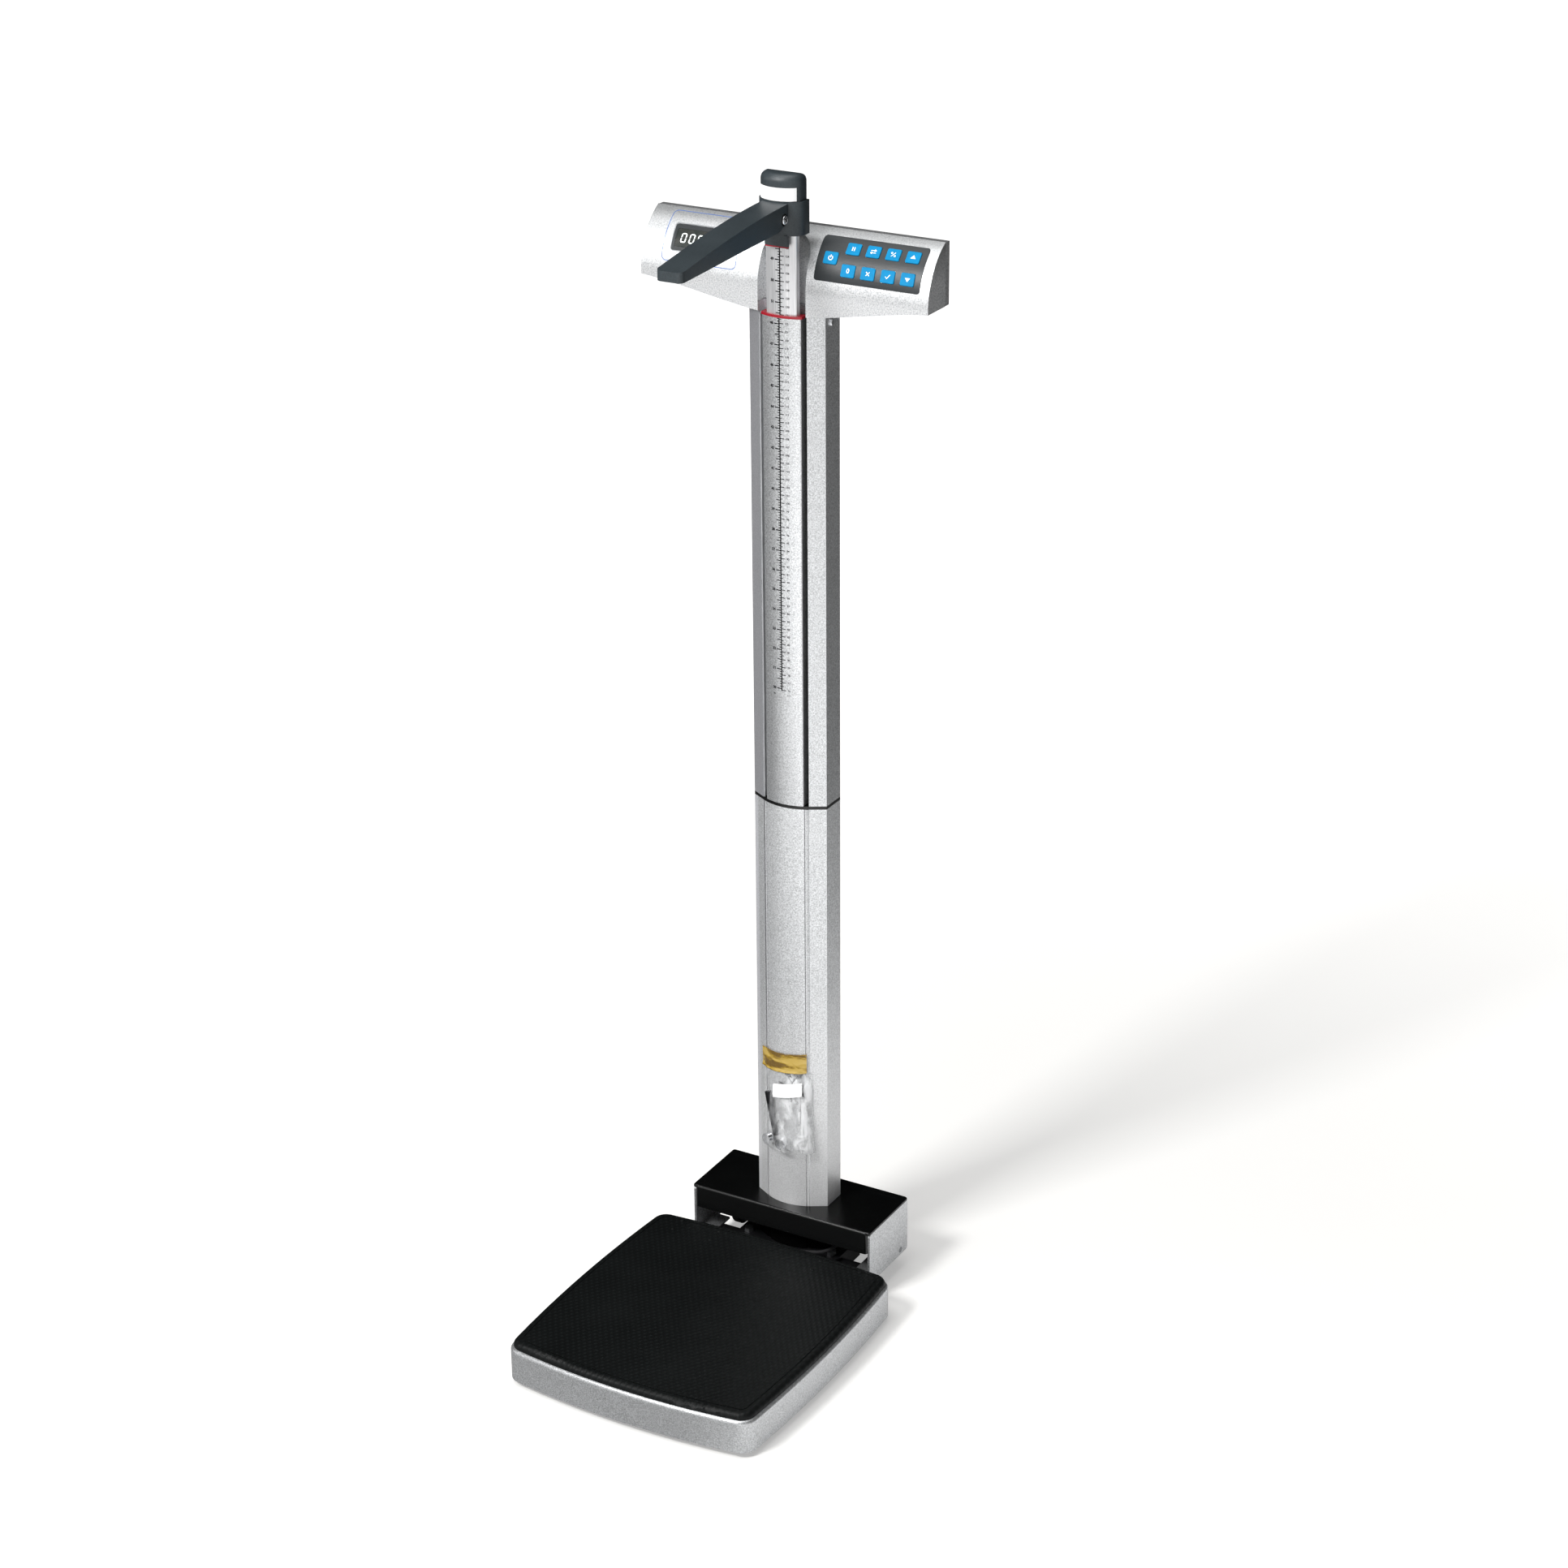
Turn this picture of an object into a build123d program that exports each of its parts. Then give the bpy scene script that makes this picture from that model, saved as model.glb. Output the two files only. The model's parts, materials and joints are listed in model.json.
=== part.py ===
"""Physician scale: a load-cell platform with transport wheels, a two-piece column with a
telescoping height rod, and a digital head.

Millimetres, +Z up, floor at z = 0.  The person steps on from -Y, and +X is to the right of
someone who faces the display.  Column sections are drawn in their own frame, whose y = 0 is the
front line of the height rule.
"""

import math
import os

from build123d import *

os.makedirs("parts", exist_ok=True)

# ---------------------------------------------------------------- platform
PLATFORM_W = 362.0  # over the bowed sides
PLATFORM_D = 388.0
PLATFORM_Y = -59.0  # centre of the platform
SIDE_BOW = 8.0  # how far the left and right sides bulge past their corners
FRONT_BOW = 14.0
REAR_BOW = 8.0
CORNER_R = 22.0
SKIRT_BOTTOM = 8.0
SKIRT_TOP = 52.0
SKIRT_EDGE_R = 5.0
SHEET = 1.5
NOTCH_TOP = 44.0  # opening in the rear skirt for the frame and the cable
MAT_T = 8.0
MAT_INSET = 3.5
MAT_EDGE_R = 6.5
MAT_GROOVE_INSET = 13.0
MAT_GROOVE_W = 1.6
MAT_GROOVE_DEPTH = 0.8
BUMP_R = 2.6
BUMP_H = 1.0
BUMP_ROWS = (91.0, 114.5)  # y of the two rows
BUMP_COLUMNS = (76.0, 132.0)  # |x| of the four columns

# ---------------------------------------------------------------- frame, feet, load cells
FRAME_BOTTOM = 12.0
FRAME_H = 20.0
FRAME_W = 306.0  # over the side rails
FRAME_FRONT = -235.0
FRAME_REAR = 118.0
RAIL_BAR = 26.0  # width of each frame bar
FRAME_T = 2.5
SPINE_X = 62.0  # centres of the two long bars that carry the column
SPINE_REAR = 221.0
OUTRIGGER_Y = 162.0
FOOT_X = 140.0
FOOT_FRONT = -215.0
FOOT_REAR = 95.0
FOOT_R = 15.0
FOOT_PAD_H = 8.0
STUD_R = 5.0
THREAD_GAP = 0.05  # radial
BOSS_R = 9.0
CELL_W = 25.0
CELL_H = 11.0
CELL_L = 110.0
CELL_SPACER = 1.5
CELL_HOLE_R = 4.0
CELL_HOLE_SPREAD = 3.2  # from the middle of the cell to each of its two holes, which run together
BEAM_W = 40.0
BOARD_T = 1.6

# ---------------------------------------------------------------- column sections
COLUMN_Y = 158.0  # row y of the rule's front line
FACE_R = 64.5  # radius of the rule and of the column's face
COLUMN_W = 102.0
COLUMN_BACK = 53.9
COLUMN_WALL = 2.4
CHANNEL_W = 64.0
CHANNEL_DEPTH = 22.0
RULE_W = 52.0
RULE_BACK = 17.0
RULE_WALL = 2.0
RULE_SHOULDER_R = 2.0
NECK_W = 26.0
GROOVE_FLOOR = 12.5
BEAD_R = 2.0
LINER_T = 1.2
COLUMN_BOTTOM = 38.0
JOINER_BOTTOM = 664.4
JOINER_T = 4.2
SPIGOT_L = 24.0
SPIGOT_T = 2.2
FIT = 0.3  # clearance between pieces that are slid or set together

# ---------------------------------------------------------------- height rod
RULE_TOP = 1286.4
COLLAR_RIM = 3.1
COLLAR_GROW = 1.2  # how far the collar stands out past the rule's flanks
COLLAR_PLUG = 16.0
ROD_W = 41.0
ROD_FRONT = 2.6
ROD_BACK = 13.0
ROD_WALL = 1.6
ROD_EDGE_R = 2.5
ROD_BOTTOM = 405.0
ROD_TOP = 1448.0
BUSH_H = 12.0
BUSH_GAP = 0.3
CARRIAGE_BOTTOM = 1386.0
CARRIAGE_H = 39.8
CARRIAGE_HALF_W = 29.8
CARRIAGE_NOSE = 20.0  # front-to-back half axis of the rounded front
CARRIAGE_FLANK_Y = 12.0  # where the rounded front ends
CARRIAGE_BACK = 20.4
CARRIAGE_GAP = 0.8  # to the rule, in front
CARRIAGE_SIDE_GAP = 0.4  # to the collar
LIP_GAP = 0.6
LIP_X = 16.0
CAP_HALF_W = 27.5
CAP_TOP = 1457.0
CAP_EDGE_R = 3.0
TAB_HALF_W = 15.0
TAB_BOTTOM = 1371.5
POINTER_H = 1.5

# ---------------------------------------------------------------- headpiece arm
PIVOT_Y = -15.5
PIVOT_Z = 1407.6
LUG_HALF_W = 13.0
LUG_R = 6.5
ARM_HALF_W = 17.0
ARM_TIP_Y = -243.0
ARM_WALL = 3.0
ARM_TIP_R = 7.0
ARM_EDGE_R = 1.2
ARM_ROOT_R = 7.4
ROOT_GAP = 0.6
PIN_R = 3.0
PIN_GAP = 0.05
SCREW_HEAD_R = 5.5
SCREW_HEAD_H = 2.2

# ---------------------------------------------------------------- head
HEAD_W = 382.2
HEAD_FRONT = 6.1
HEAD_R = 80.6
HEAD_BEND_Z = 1317.5
HEAD_TOP = 1388.5
HEAD_BACK = 64.0
HEAD_SEAM = 49.0
HEAD_WALL = 2.5
SEAM_GAP = 0.8  # shadow line round the joint of the two shells, both wide and deep
HEAD_BACK_INSET = 0.5
HEAD_BACK_R = 6.0
HEAD_BOTTOM = ((32.0, 1289.5), (57.0, 1292.5), (125.0, 1304.0))  # lower edge, from the column
HEAD_END_BOTTOM = 1313.2
COLUMN_TOP = 1300.0
SLOT_HALF_W = 32.0
SLOT_TOP = 1380.0
SLOT_R = 24.0
SLOT_DEPTH_Y = 24.0
SLOT_RAMP_Z = 1350.0
SLOT_RAMP_Y = 39.0
SLOT_WALL = 2.0
SCREW_Z = 1279.8
SCREW_Y = 32.7

KEYPAD_X = (41.8, 178.6)
KEYPAD_Z = (1335.7, 1382.0)
KEYPAD_T = 0.8
GLUE_T = 0.05
KEYPAD_R = 3.5
KEY_W = 18.0
KEY_H = 15.0
KEY_R = 2.0
KEY_PROUD = 0.9
KEY_ROOT = 0.6
KEY_TRAVEL = 0.6
KEY_GAP = 0.25
KEY_ROWS = (1371.6, 1349.5)
KEY_COLUMNS = (84.8, 110.6, 136.2, 161.8)
POWER_KEY = (59.2, 1360.6)

BEZEL_X = (-152.5, -74.0)
BEZEL_Z = (1346.2, 1373.5)
BEZEL_BAND = 4.0
BEZEL_T = 1.0
BEZEL_R = 3.0
WINDOW_T = 1.2
MODULE_Z = 1360.0
DOOR_X = (-160.0, -48.0)
DOOR_Z = (1316.0, 1368.0)
DOOR_LEDGE = 4.0
DOOR_LEDGE_T = 1.5
BATTERY_R = 7.25
BATTERY_L = 50.5
BATTERY_ROWS = 3
INLET_X = (78.0, 92.0)
INLET_Z = (1314.0, 1325.0)
HEAD_SCREWS = ((-176.0, 1328.0), (-176.0, 1374.0), (176.0, 1328.0), (176.0, 1374.0))
PCB_X = (62.0, 178.0)
PCB_Z = (1322.0, 1372.0)
PCB_Y = 36.0
PCB_POSTS = ((70.0, 1356.0), (170.0, 1356.0), (120.0, 1328.0))
CABLE_TOP = 1340.0
BRACKET_FOOT = 1240.0
BRACKET_HEAD = 1372.0
PLATE_T = 2.5

# ---------------------------------------------------------------- base
BRACKET_X = 127.8  # inside of the side plates
BRACKET_T = 3.0
BRACKET_FRONT = -14.0
BRACKET_REAR = 90.0
BRACKET_BOTTOM = 25.0
BRACKET_TOP = 98.0
BRACKET_FLANGE = 24.0
COVER_FRONT = -17.0
COVER_REAR = 81.0
COVER_TOP = 101.8
COVER_BOTTOM = 70.0
COVER_WALL = 2.5
COVER_R = 4.0
COVER_GAP = 0.4
FOOT_PLATE_W = 150.0
FOOT_PLATE_T = 6.0
BOLT_X = 62.0
BOLT_YS = (10.0, 50.0)
BOLT_HEAD_R = 6.5
BOLT_HEAD_H = 5.0
WHEEL_R = 24.0
WHEEL_W = 13.0
WHEEL_X = 106.0
WHEEL_Y = 71.0
WHEEL_Z = 32.0
AXLE_R = 4.0
AXLE_GAP = 0.06
CABLE_R = 2.5
CABLE_LOW = 52.0  # height at which the cable enters the column
CABLE_X = 34.0

# ---------------------------------------------------------------- accessory bag
BAG_HALF_W = 35.0
BAG_BOTTOM = 184.0
BAG_TOP = 292.0
BAG_FILM = 0.5
BAG_BULGE = 16.0
BAG_LIP_T = 1.4
TAPE_H = 36.0
TAPE_T = 0.3
TAPE_Z = 303.0
TAPE_TILT = 14.0
BAG_SKIN_GAP = 0.3
CARD_X = 6.0
CARD_Z = 272.0
CARD_W = 40.0
CARD_H = 16.0
CARD_TILT = 11.0
KEY_BAR_AF = 7.4
KEY_BAR_L = 60.0
BOLT_R = 7.5


# ---------------------------------------------------------------- helpers
def box(x0, x1, y0, y1, z0, z1):
    """Box between two opposite corners."""
    size = (x1 - x0, y1 - y0, z1 - z0)
    return Pos((x0 + x1) / 2, (y0 + y1) / 2, (z0 + z1) / 2) * Box(*size)


def rect(x0, x1, y0, y1):
    """Rectangle between two opposite corners."""
    return Pos((x0 + x1) / 2, (y0 + y1) / 2) * Rectangle(x1 - x0, y1 - y0)


def rod_x(radius, x0, x1, y, z):
    """Cylinder along X."""
    return Pos((x0 + x1) / 2, y, z) * Rot(0, 90, 0) * Cylinder(radius, x1 - x0)


def rod_y(radius, x, y0, y1, z):
    """Cylinder along Y."""
    return Pos(x, (y0 + y1) / 2, z) * Rot(90, 0, 0) * Cylinder(radius, y1 - y0)


def rod_z(radius, x, y, z0, z1):
    """Cylinder along Z."""
    return Pos(x, y, (z0 + z1) / 2) * Cylinder(radius, z1 - z0)


def prism(section, z0, z1):
    """Section in the column's frame, extruded from z0 to z1 in the row's frame."""
    return Pos(0, COLUMN_Y, z0) * extrude(section, z1 - z0)


def column_at(shape):
    """Moves a shape from the column's frame to the row's frame."""
    return Pos(0, COLUMN_Y, 0) * shape


def mirrored(shape):
    """The shape's copy on the other side of the centre plane."""
    return mirror(shape, about=Plane.YZ)


def save(name, *shapes):
    """Writes one node, as one solid or as a group of solids."""
    solids = [solid for shape in shapes for solid in shape.solids()]
    export_step(solids[0] if len(solids) == 1 else Compound(children=solids), f"parts/{name}.step")


# ---------------------------------------------------------------- platform
def platform_outline(inset=0.0):
    """Plan of the platform: a rectangle whose sides bow outward, with rounded corners."""
    half_w = PLATFORM_W / 2 - SIDE_BOW - inset
    front = -PLATFORM_D / 2 + FRONT_BOW + inset
    rear = PLATFORM_D / 2 - REAR_BOW - inset
    middle = (front + rear) / 2
    sides = [
        ThreePointArc((-half_w, front), (0, front - FRONT_BOW), (half_w, front)),
        ThreePointArc((half_w, front), (half_w + SIDE_BOW, middle), (half_w, rear)),
        ThreePointArc((half_w, rear), (0, rear + REAR_BOW), (-half_w, rear)),
        ThreePointArc((-half_w, rear), (-half_w - SIDE_BOW, middle), (-half_w, front)),
    ]
    face = make_face(sides)
    return Pos(0, PLATFORM_Y) * fillet(face.vertices(), CORNER_R - inset)


cover = Pos(0, 0, SKIRT_BOTTOM) * extrude(platform_outline(), SKIRT_TOP - SKIRT_BOTTOM)
cover = fillet(cover.edges().group_by(Axis.Z)[-1], SKIRT_EDGE_R)
inside = extrude(platform_outline(SHEET), SKIRT_TOP - SHEET - SKIRT_BOTTOM + 1)
inside = fillet(inside.edges().group_by(Axis.Z)[-1], SKIRT_EDGE_R - SHEET)
cover -= Pos(0, 0, SKIRT_BOTTOM - 1) * inside
platform_rear = PLATFORM_Y + PLATFORM_D / 2
notch_half = SPINE_X + RAIL_BAR / 2 + 5
cover -= box(-notch_half, notch_half, platform_rear - 9, platform_rear + 1, 0, NOTCH_TOP)
save("platform_cover", cover)

mat_top = SKIRT_TOP + MAT_T
mat = Pos(0, 0, SKIRT_TOP) * extrude(platform_outline(MAT_INSET), MAT_T)
mat = fillet(mat.edges().group_by(Axis.Z)[-1], MAT_EDGE_R)
groove = platform_outline(MAT_GROOVE_INSET) - platform_outline(MAT_GROOVE_INSET + MAT_GROOVE_W)
mat -= Pos(0, 0, mat_top - MAT_GROOVE_DEPTH) * extrude(groove, MAT_T)
bump = extrude(Circle(BUMP_R), BUMP_H, taper=35)
bumps = [
    Pos(side * x, y, mat_top) * bump
    for side in (-1, 1)
    for x in BUMP_COLUMNS
    for y in BUMP_ROWS
]
save("platform_mat", mat + bumps)

# ---------------------------------------------------------------- frame
frame_top = FRAME_BOTTOM + FRAME_H
half_frame = FRAME_W / 2
bar = RAIL_BAR
bars = [
    rect(-half_frame, half_frame, FRAME_FRONT, FRAME_FRONT + bar),
    rect(-half_frame, half_frame, FRAME_REAR - bar, FRAME_REAR),
    rect(-half_frame, -half_frame + bar, FRAME_FRONT, FRAME_REAR),
    rect(half_frame - bar, half_frame, FRAME_FRONT, FRAME_REAR),
    rect(-SPINE_X - bar / 2, -SPINE_X + bar / 2, FRAME_FRONT, SPINE_REAR),
    rect(SPINE_X - bar / 2, SPINE_X + bar / 2, FRAME_FRONT, SPINE_REAR),
    rect(-BRACKET_X + FIT, BRACKET_X - FIT, OUTRIGGER_Y - bar / 2, OUTRIGGER_Y + bar / 2),
    rect(-SPINE_X, SPINE_X, SPINE_REAR - bar, SPINE_REAR),
]
plan = bars[0] + bars[1:]
frame = Pos(0, 0, FRAME_BOTTOM) * extrude(plan, FRAME_H)
hollow = offset(plan, -FRAME_T, kind=Kind.INTERSECTION)
frame -= Pos(0, 0, FRAME_BOTTOM - 1) * extrude(hollow, FRAME_H - FRAME_T + 1)
feet = [(x, y) for y in (FOOT_FRONT, FOOT_REAR) for x in (-FOOT_X, FOOT_X)]
frame += [rod_z(BOSS_R, x, y, FRAME_BOTTOM, frame_top - FRAME_T / 2) for x, y in feet]
for x, y in feet:
    frame -= rod_z(STUD_R + THREAD_GAP, x, y, FRAME_BOTTOM - 1, frame_top - 1)
save("base_frame", frame)

for name, (x, y) in zip(("front_left", "front_right", "rear_left", "rear_right"), feet):
    pad = rod_z(FOOT_R, x, y, 0, FOOT_PAD_H)
    pad = chamfer(pad.edges().group_by(Axis.Z)[-1], 2.0)
    stud = rod_z(STUD_R, x, y, FOOT_PAD_H - 2, frame_top - 4)
    save(f"level_foot_{name}", pad + stud)

# Each load cell is a bending bar: its front end stands on the frame, and the platform's beams
# stand on its rear end.
beam_bottom = frame_top + CELL_H + 2 * CELL_SPACER
cells = []
for side in (-1, 1):
    for y, way in ((FOOT_FRONT + 30, 1), (FOOT_REAR - 30, -1)):
        x = side * (half_frame - bar / 2)
        low = frame_top + CELL_SPACER
        ends = sorted((y, y + way * CELL_L))
        cell = box(x - CELL_W / 2, x + CELL_W / 2, *ends, low, low + CELL_H)
        foot_end = sorted((y, y + way * CELL_L * 0.3))
        load_end = sorted((y + way * CELL_L * 0.7, y + way * CELL_L))
        cell += box(x - CELL_W / 2, x + CELL_W / 2, *foot_end, frame_top, low)
        cell += box(x - CELL_W / 2, x + CELL_W / 2, *load_end, low + CELL_H, beam_bottom)
        for shift in (-CELL_HOLE_SPREAD, CELL_HOLE_SPREAD):
            middle = y + way * CELL_L / 2 + shift
            across = (x - CELL_W / 2 - 1, x + CELL_W / 2 + 1)
            cell -= rod_x(CELL_HOLE_R, *across, middle, low + CELL_H / 2)
        cells.append(cell)
save("load_cells", *cells)

beam_top = SKIRT_TOP - SHEET
cell_x = half_frame - bar / 2
ladder = [
    rect(side * cell_x - BEAM_W / 2, side * cell_x + BEAM_W / 2, FRAME_FRONT, FRAME_REAR)
    for side in (-1, 1)
]
ladder += [
    rect(-cell_x, cell_x, y - BEAM_W / 2, y + BEAM_W / 2)
    for y in (FOOT_FRONT + 60, PLATFORM_Y, FOOT_REAR - 60)
]
save(
    "platform_beams",
    Pos(0, 0, beam_bottom) * extrude(ladder[0] + ladder[1:], beam_top - beam_bottom),
)

board_y = FRAME_REAR - bar / 2
board = box(-32, 32, board_y - 11, board_y + 11, frame_top + 4, frame_top + 4 + BOARD_T)
board += [rod_z(3, x, board_y, frame_top, frame_top + 4) for x in (-26, 26)]
board += box(-8, 8, board_y - 2, board_y + 11, frame_top + 4 + BOARD_T, frame_top + 9)
save("summing_board", board)


# ---------------------------------------------------------------- column sections
def face_y(x, grow=0.0):
    """y of the column's curved face at x, moved outward by grow."""
    return FACE_R - math.sqrt((FACE_R + grow) ** 2 - x**2)


def envelope():
    """Outline of the column: curved face, straight wings tangent to it, flat sides and back."""
    inner, outer = CHANNEL_W / 2, COLUMN_W / 2
    slope = inner / (FACE_R - face_y(inner))
    wing_y = face_y(inner) + slope * (outer - inner)
    arc = ThreePointArc((-inner, face_y(inner)), (0, 0), (inner, face_y(inner)))
    rest = Polyline(
        (inner, face_y(inner)),
        (outer, wing_y),
        (outer, COLUMN_BACK),
        (-outer, COLUMN_BACK),
        (-outer, wing_y),
        (-inner, face_y(inner)),
    )
    return make_face([arc, rest])


def d_section(half_w, front, back):
    """D outline: a face concentric with the column's, flat flanks and a flat back."""
    disc = Pos(0, FACE_R) * Circle(FACE_R - front)
    return disc & rect(-half_w, half_w, front - 1, back)


def chamber(depth):
    """Hollow behind the front channel or web, whose rear face lies at depth."""
    inner = CHANNEL_W / 2 + COLUMN_WALL
    return offset(envelope(), -COLUMN_WALL, kind=Kind.INTERSECTION) - rect(
        -inner, inner, -1, depth + COLUMN_WALL
    )


rule_half = RULE_W / 2
rule_cavity = d_section(rule_half - RULE_WALL, RULE_WALL, RULE_BACK - RULE_WALL)
channel_half = CHANNEL_W / 2
joiner_top = JOINER_BOTTOM + JOINER_T

lower = envelope() - rule_cavity - chamber(RULE_BACK)
for side in (-1, 1):
    inner, outer = sorted((side * (rule_half + 0.5), side * channel_half))
    lower -= rect(inner, outer, -1, GROOVE_FLOOR)
    lower += Pos(side * (rule_half + channel_half + 0.5) / 2, GROOVE_FLOOR) * Circle(BEAD_R)
column_lower = prism(lower, COLUMN_BOTTOM, JOINER_BOTTOM)
column_lower -= rod_x(CABLE_R + 1.5, 45, COLUMN_W, COLUMN_Y + SCREW_Y, CABLE_LOW)
save("column_lower", column_lower)

upper = envelope() - rect(-channel_half, channel_half, -1, CHANNEL_DEPTH) - chamber(CHANNEL_DEPTH)
column_upper = prism(upper, joiner_top, COLUMN_TOP)
for side in (-1, 1):
    screw_hole = rod_x(2.1, *sorted((side * 40, side * COLUMN_W)), COLUMN_Y + SCREW_Y, SCREW_Z)
    column_upper -= screw_hole
save("column_upper", column_upper)

# The joiner: a plate between the extrusions, with a spigot into each rear chamber.
spigot_half = COLUMN_W / 2 - COLUMN_WALL - FIT
spigot_front = CHANNEL_DEPTH + COLUMN_WALL + FIT
spigot_back = COLUMN_BACK - COLUMN_WALL - FIT
spigot_outer = rect(-spigot_half, spigot_half, spigot_front, spigot_back)
spigot_hole = offset(spigot_outer, -SPIGOT_T, kind=Kind.INTERSECTION)
joiner = prism(envelope() - rule_cavity - spigot_hole, JOINER_BOTTOM, joiner_top)
joiner += prism(spigot_outer - spigot_hole, JOINER_BOTTOM - SPIGOT_L, joiner_top + SPIGOT_L)
save("column_joiner", joiner)

liner_front = face_y(channel_half) + 1.0
liner_inner = channel_half - LINER_T
liner = rect(liner_inner, channel_half, liner_front, CHANNEL_DEPTH)
liner += rect(NECK_W / 2 + FIT, channel_half, CHANNEL_DEPTH - LINER_T, CHANNEL_DEPTH)
liner = prism(liner, joiner_top, RULE_TOP)
save("groove_liners", liner, mirrored(liner))

# ---------------------------------------------------------------- rule, collar and rod
rule = d_section(rule_half, 0, RULE_BACK)
rule = fillet(rule.vertices().group_by(Axis.Y)[0], RULE_SHOULDER_R)
neck = rect(-NECK_W / 2, NECK_W / 2, RULE_BACK, CHANNEL_DEPTH)
save("height_rail", prism(rule - rule_cavity + neck, joiner_top, RULE_TOP))

rod_half = ROD_W / 2
rod_outline = d_section(rod_half, ROD_FRONT, ROD_BACK)
rod_outline = fillet(rod_outline.vertices().group_by(Axis.Y)[0], ROD_EDGE_R)
rod_bore = d_section(rod_half - ROD_WALL, ROD_FRONT + ROD_WALL, ROD_BACK - ROD_WALL)
rod_window = offset(rod_outline, FIT)

collar = d_section(rule_half + COLLAR_GROW, -0.4, RULE_BACK) - rod_window
plug = rule_cavity - rod_window - rect(-rule_half, rule_half, 0, 7)
save(
    "rail_collar",
    prism(collar, RULE_TOP, RULE_TOP + COLLAR_RIM) + prism(plug, RULE_TOP - COLLAR_PLUG, RULE_TOP),
)

save("inner_rod", prism(rod_outline - rod_bore, ROD_BOTTOM, ROD_TOP))

bush = d_section(
    rule_half - RULE_WALL - BUSH_GAP, RULE_WALL + BUSH_GAP, RULE_BACK - RULE_WALL - BUSH_GAP
)
spigot = offset(rod_bore, -0.05, kind=Kind.INTERSECTION)
save(
    "rod_bush",
    prism(bush, ROD_BOTTOM - BUSH_H, ROD_BOTTOM) + prism(spigot, ROD_BOTTOM, ROD_BOTTOM + 20),
)

carriage_top = CARRIAGE_BOTTOM + CARRIAGE_H
rod_head = d_section(rule_half, 0, RULE_BACK)
rod_head = fillet(rod_head.vertices().group_by(Axis.Y)[0], RULE_SHOULDER_R) - rod_outline
save("rod_head", prism(rod_head, CARRIAGE_BOTTOM, carriage_top + FIT))


def rounded_nose(half_w, nose, flank_y, back):
    """Outline with a half-elliptical front, straight flanks and a flat back."""
    front = Pos(0, flank_y) * Ellipse(half_w, nose) & rect(-half_w, half_w, flank_y - nose, flank_y)
    return front + rect(-half_w, half_w, flank_y, back)


cap_bottom = carriage_top + FIT
cap = prism(
    rounded_nose(CAP_HALF_W, CARRIAGE_NOSE, CARRIAGE_FLANK_Y, CARRIAGE_BACK), cap_bottom, CAP_TOP
)
cap = fillet(cap.edges().group_by(Axis.Z)[-1], CAP_EDGE_R)
save("rod_cap", cap - prism(rod_outline, cap_bottom - 1, ROD_TOP))

# ---------------------------------------------------------------- carriage
carriage_outline = rounded_nose(CARRIAGE_HALF_W, CARRIAGE_NOSE, CARRIAGE_FLANK_Y, CARRIAGE_BACK)
channel = d_section(
    rule_half + COLLAR_GROW + CARRIAGE_SIDE_GAP, -CARRIAGE_GAP, RULE_BACK + LIP_GAP
)
mouth = rect(-LIP_X, LIP_X, RULE_BACK, CARRIAGE_BACK + 1)
carriage = prism(carriage_outline - channel - mouth, CARRIAGE_BOTTOM, carriage_top)

tab_back = -CARRIAGE_GAP - 0.4
tab_front = CARRIAGE_FLANK_Y - CARRIAGE_NOSE
tab_section = make_face(
    Polyline(
        (tab_back, CARRIAGE_BOTTOM + 1),
        (tab_front + 1, CARRIAGE_BOTTOM + 1),
        (tab_front + 3, TAB_BOTTOM + POINTER_H),
        (tab_back, TAB_BOTTOM + POINTER_H),
        close=True,
    )
)
tab = extrude(Plane.YZ * tab_section, TAB_HALF_W, both=True)
lug = rod_x(LUG_R, -LUG_HALF_W, LUG_HALF_W, PIVOT_Y, PIVOT_Z)
lug += box(-LUG_HALF_W, LUG_HALF_W, PIVOT_Y, tab_front + 1.6, PIVOT_Z - LUG_R, PIVOT_Z + LUG_R)
lug -= rod_x(PIN_R + PIN_GAP, -LUG_HALF_W - 1, LUG_HALF_W + 1, PIVOT_Y, PIVOT_Z)
carriage += column_at(tab + lug)
save("carriage", carriage)
save(
    "pointer_line",
    column_at(
        box(
            -TAB_HALF_W, TAB_HALF_W, tab_front + 3, tab_back, TAB_BOTTOM, TAB_BOTTOM + POINTER_H
        )
    ),
)

# ---------------------------------------------------------------- headpiece arm
arm_side = make_face(
    [
        Spline((-6.6, 1424.6), (-24, 1424), (-133, 1415), (ARM_TIP_Y, 1400)),
        Line((ARM_TIP_Y, 1400), (ARM_TIP_Y, 1388)),
        Polyline((ARM_TIP_Y, 1388), (-28, 1396), (PIVOT_Y, PIVOT_Z - ARM_ROOT_R), (-6.6, PIVOT_Z)),
        Line((-6.6, PIVOT_Z), (-6.6, 1424.6)),
    ]
)
arm = extrude(Plane.YZ * arm_side, ARM_HALF_W, both=True)
tip_edges = arm.edges().filter_by(Axis.Z).sort_by(Axis.Y)[:2]
arm = fillet(tip_edges, ARM_TIP_R)
top_face = arm.faces().sort_by(Axis.Z)[-1]
arm = fillet(top_face.edges(), ARM_EDGE_R)

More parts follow.
